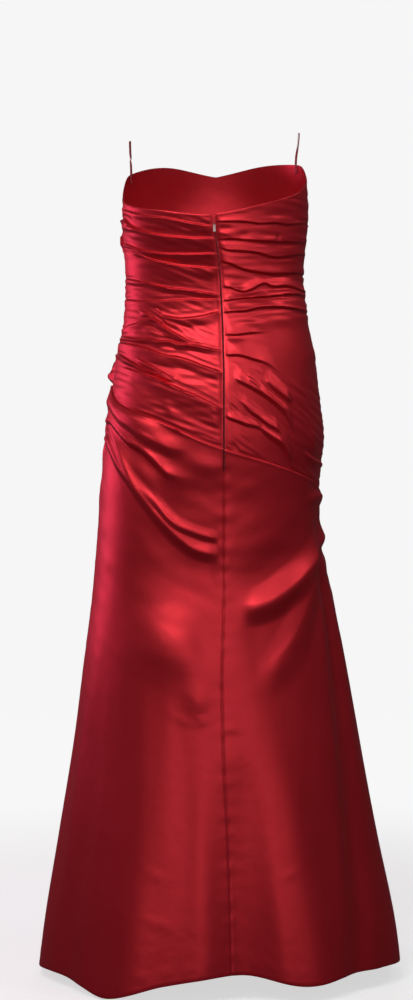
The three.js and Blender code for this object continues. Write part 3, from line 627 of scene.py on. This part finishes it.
# Back right bodice panel. The same satin and underlining. Its tucks start level at the top and turn
# down to the wearer's right, where they are caught into the side seam.
RIGHT_TUCKS = (
    fold(((4, 87), (49, 87), (66, 85), (96, 87), (114, 86), (150, 94)), (1.5, 3, 1.5), 12, 2.5,
         tile=True),
    fold(((6, 59), (25, 60), (40, 59), (56, 58), (90, 57), (112, 58), (150, 62)), (3, 3.5, 1.5), 20, 3,
         tile=True),
    fold(((5, 46), (19, 42), (36, 41), (54, 40), (70, 38), (85, 34), (96, 33), (148, 44)), (3, 4, 2), 15,
         3, tile=True),
    fold(((10, 24), (25, 20), (35, 15), (49, 11), (67, 8), (90, 6), (108, 8), (148, 12)), (3.5, 4.8, 2),
         21, 3.5, tile=True),
    fold(((14, -16), (25, -18), (35, -22), (43, -24), (56, -20), (77, -10), (90, -14), (113, -12),
         (150, -19)), (3, 4, 3), 14, 3.5, tile=True),
    fold(((8, -40), (32, -36), (61, -33), (96, -29), (133, -24), (150, -26)), (3, 4, 3), 10, 3,
         tile=True),
    fold(((10, -59), (20, -57), (46, -55), (67, -50), (94, -47), (150, -50)), (4, 5, 2), 18, 3.5,
         tile=True),
    fold(((10, -95), (17, -94), (31, -94), (55, -91), (84, -90)), (4, 3.5, 1), 28, 4, fade=(0, 28),
         tile=True),
    fold(((10, -127), (40, -128), (57, -133), (71, -137), (87, -144), (114, -162)), (4, 5, 2), 26, 5,
         fade=(0, 60), tile=True),
    fold(((76, -163), (91, -178), (101, -187), (122, -203)), (3, 5, 4), 18, 7, fade=(9, 10), tile=True),
    fold(((48, -163), (60, -172), (71, -183)), (2, 2.5, 2), 4, 5, fade=(8, 8)),
    fold(((26, -164), (44, -172), (63, -182), (76, -190), (91, -201), (101, -210), (113, -223),
         (119, -238), (124, -250)), (3, 6, 5), 24, 8, fade=(14, 12), tile=True),
    fold(((38, -200), (53, -216), (68, -227), (82, -238), (95, -245), (103, -254)), (2.5, 4.2, 4), 14, 6,
         fade=(12, 8), tile=True),
    fold(((10, -224), (29, -231), (44, -237), (63, -242), (80, -248)), (4, 4, 2), 12, 6, fade=(0, 20),
         tile=True),
    fold(((68, -242), (87, -257), (96, -263), (106, -271), (113, -283), (119, -296), (122, -308)),
         (3.5, 6.5, 5), 22, 9, fade=(12, 8), tile=True),
    fold(((138, -280), (157, -295), (174, -301)), (2, 3, 3), 5, 12, fade=(12, 0)),
)
RIGHT_SWELLS = (
    ((43, 65), -1.8, 14, 5, 0),
    ((99, 61), -1.8, 4, 8, 0),
    ((35, -16), -1.8, 10, 4, 0),
    ((69, -17), -1.6, 8, 4, 0),
    ((53, -76), 1.8, 18, 5, 0),
    ((112, -132), -2.5, 36, 34, 12),
    ((34, -112), 1.2, 16, 10, 0),
    ((84, -186), -2.2, 22, 4, -38),
    ((28, -218), -2.0, 9, 4, -55),
    ((30, -277), -2.0, 9, 4, -60),
    ((76, -275), -3.2, 26, 9, -52),
    ((157, -265), 2.5, 14, 22, 0),
)


def right_streaks(across, z):
    turning = smooth((-z - 60) / 120)
    return STREAKS_OUT * crushed(5, across, z + 0.75 * turning * across, long_mm=70, short_mm=14)


bodice_back_right = satin_panel(
    "bodice_back_right", back_bodice(1, RIGHT_TUCKS, RIGHT_SWELLS, right_streaks, pillow=0.4)
)

# Front bodice panel. One width of satin across the front, gathered into tucks that cross it from side
# to side, over a plain underlining with bust darts. It stands higher than the back and holds the gown up.
FRONT_TUCKS = (  # a crest's heights from the right side to the left, then the rest of a fold
    ((128, 146, 156, 142, 120), (2.5, 3, 3), 4, 18),
    ((92, 108, 118, 110, 94), (3, 4, 4), 4, 16),
    ((62, 80, 90, 84, 74), (3, 4.5, 3), 5, 15),
    ((42, 56, 60, 58, 52), (3, 4, 2), 4, 14),
    ((6, 22, 34, 28, 16), (3, 4.5, 3), 4, 14),
    ((-21, -4, 8, 4, -8), (4, 5, 3), 4, 11),
    ((-38, -28, -18, -22, -33), (4, 4, 2), 4, 11),
    ((-58, -54, -46, -44, -52), (3, 5, 3), 4, 12),
    ((-92, -86, -74, -66, -74), (2, 5, 4), 4, 14),
    ((-140, -122, -102, -84, -90), (1, 5, 4), 5, 14),
    ((-186, -158, -130, -104, -104), (2, 6, 4), 5, 15),
    ((-230, -196, -158, -124, -118), (2, 6, 4), 5, 15),
    ((-272, -234, -190, -148, -132), (2, 6, 5), 5, 16),
    ((-312, -270, -222, -174, -150), (3, 6, 6), 5, 18),
)
FLAP = {"z": 66, "out": 6.5, "above": 25, "below": 27, "from_seam": 7, "half": 7}  # a loose tuck end
FRONT_ANGLES = (90, 135, 180, 225, 270)


def front_folds(table):
    """A table of front folds in the form that fold_out takes, with crests given by degrees round."""
    return [fold(tuple(zip(FRONT_ANGLES, heights)), *rest) for heights, *rest in table]


def uneven(deg, z):
    """Small unevenness of gathered cloth, in mm."""
    return 0.5 * np.sin(z / 9 + deg / 17) * np.sin(deg / 11 + 1.1) + 0.4 * np.sin(z / 23 - deg / 29)


FRONT_SIZE = (440, 430)
FRONT_COARSE = 1.5  # the front's points stand this many times farther apart than the back's
FRONT_LEAN = 0.35  # turns a crest's slope for each degree into about its slope for each mm
BODICE_DEGREE = 2.4  # about how many mm round the bodice a degree is


def front_bodice():
    """The walls of the front bodice panel."""
    shares, downs = (stops(size, step * FRONT_COARSE) for size, step in zip(FRONT_SIZE, BODICE_STEP))
    share, z, deg, from_top, from_waist, free = bodice_grid(shares, downs, front_angle)
    from_right = share * 2 * level_arc(z)
    from_left = (1 - share) * 2 * level_arc(z)
    sway = 4 * np.sin(deg / 14) * np.sin(z / 31)
    streaks = crushed(7, deg * BODICE_DEGREE, z - 0.3 * (deg - 180), long_mm=80, short_mm=14)
    folds = fold_out(front_folds(FRONT_TUCKS), deg, z + sway, FRONT_LEAN)
    out = free * (caught(from_left) * caught(from_right) * folds + uneven(deg, z) + STREAKS_OUT * streaks)
    rise = z - FLAP["z"]
    flap = 1 - smooth(np.where(rise > 0, rise / FLAP["above"], -rise / FLAP["below"]))
    out += FLAP["out"] * flap * (1 - smooth(np.abs(from_left - FLAP["from_seam"]) / FLAP["half"]))
    puckers = seam_puckers(from_right, z, pitch=13) + seam_puckers(from_left, z, pitch=12)
    out += ear_out(from_left, z) + free * puckers
    out += turned_under(from_right, "side") + turned_under(from_left, "side")
    return bodice_walls(deg, z, out, from_top, from_waist)


bodice_front = satin_panel("bodice_front", front_bodice())

# Skirt back panels. Satin cut A-line with no pleats, one to each side of the centre back seam, their top
# edges folded over the bodice's lower edge. The weight of the cloth drags swags across the seat, and
# soft flutes fall to a narrow blind-stitched hem.
HEM = {
    -180: -1112, -140: -1116, -110: -1114, -90: -1118, -62: -1112, -46: -1118, -33: -1127, -15: -1105,
    8: -1091, 24: -1106, 38: -1100, 72: -1101, 90: -1107, 130: -1115, 180: -1112,
}
SKIRT_LAP = WALL + SEAM_GAP
LAP_FADE = 60  # how far below its top edge the skirt comes in again from its lap over the bodice
FLUTES = (  # the top, the angle there and at the hem, how far out or in it is there, its half width
    (-620, -22, -28, 0, 15, 17),
    (-760, 6, 7, 0, -20, 13),
    (-640, 22, 29, 0, 14, 15),
    (-430, 72, 46, -10, -9, 11),
    (-520, -50, -56, 0, -9, 15),
    (-560, 80, 70, 3, 8, 13),
    (-600, -84, -80, 0, 7, 13),
    (-560, 108, 104, 0, -10, 13),
    (-560, 130, 128, 0, 12, 14),
    (-560, 152, 154, 0, -12, 13),
    (-560, 178, 180, 0, 12, 15),
    (-560, -152, -150, 0, -11, 14),
    (-560, -126, -124, 0, 12, 14),
    (-560, -104, -102, 0, -8, 12),
)
LEFT_SWAGS = (
    fold(((-174, -197), (-152, -225), (-135, -239), (-114, -255), (-94, -266), (-74, -276), (-37, -279)),
         (4, 6, 3), 28, 18, fade=(0, 55), tile=True),
    fold(((-172, -228), (-143, -262), (-117, -278), (-94, -299), (-77, -316), (-52, -322)), (4, 8.5, 5),
         26, 11, fade=(0, 45), tile=True),
    fold(((-176, -240), (-157, -278), (-138, -318), (-118, -352)), (3, 4.5, 3), 20, 10, fade=(0, 40),
         tile=True),
    fold(((-186, -252), (-176, -264), (-158, -299), (-138, -328), (-112, -361), (-85, -393), (-58, -420),
         (-32, -438), (6, -446)), (4, 6.5, 4), 18, 16, fade=(0, 20), tile=True),
    fold(((-132, -329), (-98, -361), (-69, -393), (-32, -412), (4, -421)), (2, 4, 3), 13, 10,
         fade=(50, 12), tile=True),
)
LEFT_SKIRT_SWELLS = (
    ((-124, -232), 3.5, 44, 15, -28),
    ((-122, -272), -1.5, 14, 9, -40),
    ((-67, -256), -1.8, 20, 11, -15),
    ((-69, -322), 3.0, 30, 14, -12),
    ((-22, -306), 2.6, 34, 16, -12),
    ((-50, -482), -7.5, 78, 56, -14),
    ((-74, -596), 8.5, 62, 46, -20),
    ((-18, -590), -3.0, 24, 32, 0),
    ((-30, -674), 3.0, 20, 25, 0),
    ((-56, -703), 1.2, 18, 3, -20),
    ((-19, -705), 1.2, 12, 3, 10),
    ((-92, -940), 0.8, 14, 4, -20),
    ((-88, -1012), 0.8, 26, 4, -15),
)
SKIRT_WIDTH = 360
SKIRT_STEP = (4.6, 3.2, 7.5)  # level, above the swags' end, and below it
ROWS_TOP = -200
SWAG_END = -560
EDGE_ROWS = (0.6, 1.4)  # how far below the top edge the first rows of points stand
HEM_ROW = 1.2
SKIRT_CALM = {"top": 8, "folds": 12, "waves": 20}  # how far from an edge the relief starts in full
AT_SEAM = 0.15  # how much of a swag's height is left at a seam
SKIRT_DEGREE = 3.4  # about how many mm round the skirt a degree is
UNEVEN_ENDS = (-420, 200)  # below this height the seat's unevenness fades, over this length
HANGS_FREE = (-520, 260)  # below this height drag lines turn to hanging ones, over this length
DRAGGED_OUT, HANGING_OUT = 0.14, 0.3
ROLL = (0.7, 2.2, 1.7)  # the rolled top edge: its height, its distance from the edge, its half width
HEM_STITCHES = (0.5, 22, 3)  # the same for the line where the hem is caught up


def how_low(z, zone):
    return smooth((zone[0] - z) / zone[1])


def skirt_rows(top, hem):
    """Shares of a skirt's length, closer above the end of the swags than below it."""
    total = top - hem
    fine = (top - SWAG_END) / total
    upper = np.linspace(0, fine, int((top - SWAG_END) / SKIRT_STEP[1]))
    lower = np.linspace(fine, 1, int((SWAG_END - hem) / SKIRT_STEP[2]))
    first = [0] + [drop / total for drop in EDGE_ROWS]
    return np.concatenate([first, upper[1:], lower[1:-1], [1 - HEM_ROW / total, 1]])


FLUTE_START = 60  # a flute grows from nothing this far above its top to whole this far below


def flutes_out(deg, z):
    total = np.zeros_like(z)
    for top, first, last, start, end, half in FLUTES:
        fall = np.clip((top - z) / (top - columns["z"][0]), 0, 1)
        away = np.abs((deg - (first + (last - first) * fall) + 180) % 360 - 180)
        amount = start + (end - start) * fall
        grown = smooth((top + FLUTE_START - z) / (2 * FLUTE_START))
        total += grown * amount * (1 - smooth(away / half))
    return total


def ridge(distance, height, at, thick):
    return height * np.exp(-(((distance - at) / thick) ** 2))


def skirt_points(shares, angle, folds, swells, quarters):
    """Outer and inner points and relief of a skirt panel that goes one or two quarters round the gown.
    Folds are given by millimetres across on a back panel and by degrees round on the front."""
    top = edge_height(DROPPED_WAIST, angle(shares, DROPPED_WAIST[0] + 0 * shares)) - SEAM_GAP / 2
    hem = edge_height(HEM, angle(shares, HEM[180] + 0 * shares))
    downs = skirt_rows(ROWS_TOP, HEM[180])
    share = shares[:, None] + 0 * downs[None, :]
    z = top[:, None] + (hem - top)[:, None] * downs[None, :]
    deg = angle(share, z)
    across = figure(deg, z)[0] if quarters == 1 else deg
    lean = np.cos(np.radians(deg)) if quarters == 1 else FRONT_LEAN + 0 * deg
    down = top[:, None] - z
    up = z - hem[:, None]
    near_seam = quarters * np.minimum(share, 1 - share) * level_arc(z)
    free = smooth(down / SKIRT_CALM["top"])
    out = SKIRT_LAP * (1 - smooth(down / LAP_FADE)) + flutes_out(deg, z)
    folded = fold_out(folds, across, z, lean, crisp=1.15, pillow=0.25)
    out += free * (AT_SEAM + (1 - AT_SEAM) * smooth(near_seam / SKIRT_CALM["folds"])) * folded
    bumps = 0.5 * uneven(deg, z) * smooth(down / LAP_FADE) * (1 - how_low(z, UNEVEN_ENDS))
    out += free * swell_out(swells, across, z, lean) + bumps
    around = deg * SKIRT_DEGREE
    slanting = z + 0.3 * around * np.where(deg < 0, 1, -1)
    dragged = crushed(11, around, slanting, long_mm=150, short_mm=42)
    hanging = crushed(13, z, around, long_mm=420, short_mm=46)
    low = how_low(z, HANGS_FREE)
    waves = DRAGGED_OUT * dragged * (1 - low) + HANGING_OUT * hanging * low
    out += free * smooth(near_seam / SKIRT_CALM["waves"]) * waves
    out += seam_puckers(near_seam, z, pitch=26) * free
    out += turned_under(near_seam, "skirt_seam") + turned_under(down, "skirt_top") + ridge(down, *ROLL)
    out += ridge(up, *HEM_STITCHES) * np.sin(deg * 2.1) ** 2 + turned_under(up, "hem")
    return moved_out(deg, z, out), moved_out(deg, z, out - WALL), out


skirt_shares = stops(SKIRT_WIDTH, SKIRT_STEP[0])
left_skirt = skirt_points(skirt_shares[::-1], quarter_angle(-1), LEFT_SWAGS, LEFT_SKIRT_SWELLS, 1)
skirt_back_left = satin_panel("skirt_back_left", left_skirt)

RIGHT_SWAGS = (
    fold(((140, -362), (160, -356), (176, -352)), (1, 3, 5), 14, 14, fade=(14, 0)),
    fold(((26, -518), (47, -526), (80, -520), (107, -504), (135, -480), (160, -446), (176, -406)),
         (4, 10, 8), 33, 36, fade=(40, 0), tile=True),
    fold(((56, -632), (99, -606), (134, -553), (156, -500), (182, -450)), (1, 6, 2.5), 32, 46,
         fade=(44, 0), tile=True),
)
RIGHT_SKIRT_SWELLS = (
    ((96, -464), -7.0, 70, 34, 28),
    ((50, -343), 0.8, 26, 16, 12),
    ((20, -400), 0.8, 16, 70, 0),
    ((22, -717), 1.0, 14, 3, -8),
    ((190, -586), 1.2, 12, 3, 12),
    ((110, -940), 0.8, 18, 4, 15),
)
right_skirt = skirt_points(skirt_shares, quarter_angle(1), RIGHT_SWAGS, RIGHT_SKIRT_SWELLS, 1)
skirt_back_right = satin_panel("skirt_back_right", right_skirt)

# Skirt front panel. One A-line width of the same satin from side seam to side seam, with the same lap
# over the bodice, swags that leave the gathered left hip, and the same hem.
FRONT_SWAGS = (
    ((-354, -366, -318, -262, -200), (5, 4, 4), 14, 20),
    ((-412, -430, -408, -330, -232), (5, 7, 5), 14, 24),
    ((-452, -520, -520, -430, -262), (3, 6, 4), 16, 30),
    ((-520, -620, -640, -540, -330), (1, 4, 2), 24, 40),
)
SKIRT_COARSE = 1.1
front_shares = stops(2 * SKIRT_WIDTH, SKIRT_STEP[0] * SKIRT_COARSE)
front_skirt = skirt_points(front_shares, front_angle, front_folds(FRONT_SWAGS), (), 2)
skirt_front = satin_panel("skirt_front", front_skirt)

# Invisible zip. Two polyester tapes, dyed to match and sewn behind the turned edges of the back panels.
# Their inner edges are rolled round a nylon coil, which is what the slider closes.
TAPE_WIDTH = 10.5
TAPE_THICK = 0.8
TAPE_EDGE = 0.9
TAPE_DEPTH = WALL + 2 * SEAM_GAP
TAPE_INSET = 0.05  # the woven tape is a little thinner than its solid
ZIP_TOP = 93
COIL_DEPTH = TAPE_DEPTH + TAPE_THICK + SEAM_GAP
COIL_TOP = 76.7
COIL_END = ZIP_END + 4
COIL_PITCH = 1.3
COIL_WIRE = 0.28
COIL_HALF = (1.25, 0.5)  # half the width and half the depth of a turn of the wire's middle line
COIL_MIDDLE = (0.8, COIL_DEPTH + 0.75)  # how far a coil's middle is from the seam and behind the figure
WAVE_BAND = 0.157  # how wide one band of a wave texture of scale 1 is, in metres


def behind_back(across, z, depth):
    """Points beside the centre back seam, at a depth behind the smooth figure."""
    return moved_out(seam_angle(z) + angle_of(across, z), z, -depth)


def dyed_polyester(name, light, dark, rib_mm, rough):
    """Plain woven tape or ribbon: fine level ribs in a colour that varies a little along its length."""
    material, tree, place = new_material(name)
    ribs = add_node(
        tree, "ShaderNodeTexWave",
        {"bands_direction": "Z", "Scale": WAVE_BAND / (rib_mm * MM), "Distortion": 0.4}, {"Vector": place},
    )
    patches = add_node(tree, "ShaderNodeTexNoise", {"Scale": 90.0, "Detail": 2.0}, {"Vector": place})
    colour = add_node(
        tree, "ShaderNodeMix", {"data_type": "RGBA", 6: linear(dark), 7: linear(light)}, {0: patches}
    )
    bump = add_node(
        tree, "ShaderNodeBump", {"Strength": 0.5, "Distance": 0.0001}, {"Height": ribs.outputs["Fac"]}
    )
    shader = add_node(
        tree, "ShaderNodeBsdfPrincipled",
        {"Roughness": rough, "IOR": 1.5, "Sheen Weight": 0.2, "Sheen Roughness": 0.5},
        {"Base Color": colour.outputs[2], "Normal": bump},
    )
    return finish_material(material, shader)


zip_tape_cloth = dyed_polyester("woven_zip_tape", "#8E1420", "#6E0D17", rib_mm=0.6, rough=0.7)
tape_down = np.linspace(ZIP_TOP, ZIP_END, 240)[None, :]
tape_across = np.linspace(0, 1, 7)[:, None]
for side, name in ((-1, "left"), (1, "right")):
    across = (side * (TAPE_EDGE + TAPE_WIDTH * tape_across))[::side]
    ripple = 0.06 * np.sin(tape_down / 4.1 + side) * np.abs(across) / TAPE_WIDTH
    tape_faces = [
        behind_back(across + 0 * tape_down, tape_down + 0 * across, depth + ripple)
        for depth in (TAPE_DEPTH + TAPE_INSET, TAPE_DEPTH + TAPE_THICK - TAPE_INSET)
    ]
    node = "zip_tape_" + name
    tape = add_piece(shell_mesh(node + "_woven", *tape_faces), zip_tape_cloth, node)


def swept_mesh(name, centres, wide, thin, half_width, half_thick, sides):
    """A closed tube of rings in mm, each with its own two cross directions."""
    turn = 2 * np.pi * (np.arange(sides) + 0.5) / sides
    rings = (
        centres[:, None, :]
        + half_width * np.cos(turn)[None, :, None] * wide[:, None, :]
        + half_thick * np.sin(turn)[None, :, None] * thin[:, None, :]
    )
    count = len(centres)
    faces = []
    for i in range(count - 1):
        for k in range(sides):
            a, b = i * sides + k, i * sides + (k + 1) % sides
            faces.append((a, a + sides, b + sides, b))
    faces.append(tuple(range(sides)))
    faces.append(tuple(reversed(range((count - 1) * sides, count * sides))))
    mesh = bpy.data.meshes.new(name)
    mesh.from_pydata((rings.reshape(-1, 3) * MM).tolist(), [], faces)
    mesh.shade_smooth()
    return mesh


# Dyed nylon wire: smooth and a little glossy, in a red that varies slightly from turn to turn.
nylon, tree, place = new_material("dyed_nylon_coil")
mottle = add_node(tree, "ShaderNodeTexNoise", {"Scale": 900.0, "Detail": 1.0}, {"Vector": place})
dye = add_node(
    tree, "ShaderNodeMix", {"data_type": "RGBA", 6: linear("#7C0F1A"), 7: linear("#9C1824")}, {0: mottle}
)
shader = add_node(
    tree, "ShaderNodeBsdfPrincipled", {"Roughness": 0.42, "IOR": 1.53}, {"Base Color": dye.outputs[2]}
)
finish_material(nylon, shader)


def unit(vectors):
    return vectors / np.linalg.norm(vectors, axis=1)[:, None]


COIL_POINTS = 10
WIRE_SIDES = 5
COIL_START = COIL_TOP - 0.4  # leaves room for the first turn's thickness
turn_count = (COIL_TOP - COIL_END) / COIL_PITCH
phase = 2 * np.pi * np.arange(int(turn_count * COIL_POINTS)) / COIL_POINTS
for side, name in ((-1, "left"), (1, "right")):
    coil_z = COIL_START - COIL_PITCH * phase / (2 * np.pi) - (0 if side < 0 else COIL_PITCH / 2)
    coil_z = np.maximum(coil_z, COIL_END)
    aside, depth = COIL_MIDDLE
    centres = behind_back(
        side * (aside - COIL_HALF[0] * np.cos(phase)), coil_z, depth + COIL_HALF[1] * np.sin(phase)
    )
    along = unit(np.gradient(centres, axis=0))
    radial = centres - behind_back(side * aside + 0 * coil_z, coil_z, depth)
    radial = unit(radial - (radial * along).sum(axis=1)[:, None] * along)
    add_piece(
        swept_mesh(
            "zip_coil_" + name, centres, np.cross(along, radial), radial, COIL_WIRE, COIL_WIRE, WIRE_SIDES
        ),
        nylon, "zip_coil",
    )


# Zip slider and pull. The slider is die-cast zinc in red enamel, with a crown and a half-ring that the
# pull hangs in. The pull is stamped zinc, barrel plated to a pale satin nickel and a little worn.
def metal_material(name, colour, worn, metallic, rough):
    """Enamel or plating, with small worn patches that are a little duller or brighter than the rest."""
    material, tree, place = new_material(name)
    wear = add_node(tree, "ShaderNodeTexNoise", {"Scale": 700.0, "Detail": 3.0}, {"Vector": place})
    shade = add_node(
        tree, "ShaderNodeMix", {"data_type": "RGBA", 6: linear(colour), 7: linear(worn)}, {0: wear}
    )
    dull = add_node(
        tree, "ShaderNodeMapRange", {"To Min": rough - 0.08, "To Max": rough + 0.1}, {"Value": wear}
    )
    bump = add_node(tree, "ShaderNodeBump", {"Strength": 0.2, "Distance": 0.00005}, {"Height": wear})
    shader = add_node(
        tree, "ShaderNodeBsdfPrincipled", {"Metallic": metallic},
        {"Base Color": shade.outputs[2], "Roughness": dull, "Normal": bump},
    )
    return finish_material(material, shader)


for node, material in (
    ("zip_slider", metal_material("red_enamelled_zinc", "#8A1420", "#A01C2A", metallic=0.0, rough=0.32)),
    ("zip_pull", metal_material("satin_nickel_plate", "#CFB3AF", "#A98F8C", metallic=0.6, rough=0.42)),
):
    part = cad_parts[node]
    part.data.materials.clear()
    part.data.materials.append(material)

# Hanger loops. Narrow woven satin ribbon, doubled and sewn flat inside the front panel just ahead of
# each side seam. The gown hangs from them, and they stand up and twist a little where nothing pulls.
RIBBON_WIDTH = 2.4
RIBBON_THICK = 0.6
RIBBON_DEPTH = WALL + 1.4 + RIBBON_THICK / 2
LOOPS = (
    {"name": "left", "deg": -111, "x": -143.5, "top": 240, "twist": 180},
    {"name": "right", "deg": 114, "x": 138.5, "top": 254, "twist": 60},
)
LOOP_SEWN = 14
LOOP_APART = 4
LOOP_RINGS = 121
RIBBON_SIDES = 12
FLAT_ENDS = (8, 14)  # how far below the neckline the ribbon starts to turn from flat, over what height
TWIST_ZONE = (0.25, 0.4)  # the same for its twist, as shares of the height above the neckline


def smooth_path(points, count):
    """A centripetal smooth curve through points, in even steps."""
    points = np.asarray(points, float)
    before, after = 2 * points[0] - points[1], 2 * points[-1] - points[-2]
    padded = np.vstack([before, points, after])
    fine = []
    for i in range(1, len(padded) - 2):
        p = padded[i - 1 : i + 3]
        gap = np.linalg.norm(np.diff(p, axis=0), axis=1) ** 0.5
        rate = [(p[k + 1] - p[k]) / gap[k] for k in range(3)]
        first = (rate[0] - (p[2] - p[0]) / (gap[0] + gap[1]) + rate[1]) * gap[1]
        last = (rate[1] - (p[3] - p[1]) / (gap[1] + gap[2]) + rate[2]) * gap[1]
        t = np.linspace(0, 1, 40, endpoint=False)[:, None]
        fine.append(cubic(t, p[1], p[2], first, last))
    fine = np.vstack(fine + [points[-1:]])
    run = np.concatenate([[0], np.cumsum(np.linalg.norm(np.diff(fine, axis=0), axis=1))])
    even = np.linspace(0, run[-1], count)
    return np.stack([np.interp(even, run, fine[:, k]) for k in range(3)], axis=1), run[-1]


ribbon_cloth = dyed_polyester("woven_satin_ribbon", "#A81E30", "#8A1424", rib_mm=0.5, rough=0.45)
for loop in LOOPS:
    deg = np.array([float(loop["deg"])])
    neck = edge_height(NECKLINE, deg)
    outward = (moved_out(deg, neck, 1.0) - moved_out(deg, neck, 0.0))[0]
    sideways = np.array([-outward[1], outward[0], 0])
    base = moved_out(deg, neck, -RIBBON_DEPTH)[0]
    neck = float(neck[0])
    half = LOOP_APART / 2
    bend = loop["top"] - half

    def loop_point(beside, z):
        rise = float(smooth((z - neck) / (bend - neck)))
        return np.array([base[0] + (loop["x"] - base[0]) * rise, base[1], z]) + sideways * beside

    heights = [neck - LOOP_SEWN, neck - LOOP_SEWN / 2, neck]
    heights += [neck + (bend - neck) * t for t in (0.25, 0.5, 0.75, 1)]
    route = [loop_point(-half, z) for z in heights]
    route += [
        loop_point(-half * math.cos(math.radians(a)), bend + half * math.sin(math.radians(a)))
        for a in (45, 90, 135)
    ]
    route += [loop_point(half, z) for z in reversed(heights)]
    centres, length = smooth_path(route, LOOP_RINGS)
    along = unit(np.gradient(centres, axis=0))
    level = unit(outward[None, :] - (along @ outward)[:, None] * along)
    in_plane = np.cross(along, level)
    rise = np.clip((centres[:, 2] - neck) / (loop["top"] - neck), 0, 1)
    flat = 1 - smooth((centres[:, 2] - neck + FLAT_ENDS[0]) / FLAT_ENDS[1])
    turn = 90 * flat + loop["twist"] * smooth((rise - TWIST_ZONE[0]) / TWIST_ZONE[1])
    turn = np.radians(turn)[:, None]
    thin = in_plane * np.cos(turn) + level * np.sin(turn)
    ribbon = add_piece(
        swept_mesh(
            "hanger_loop_" + loop["name"] + "_ribbon", centres, np.cross(along, thin), thin,
            RIBBON_WIDTH / 2, RIBBON_THICK / 2, RIBBON_SIDES,
        ),
        ribbon_cloth, "hanger_loop_" + loop["name"],
    )
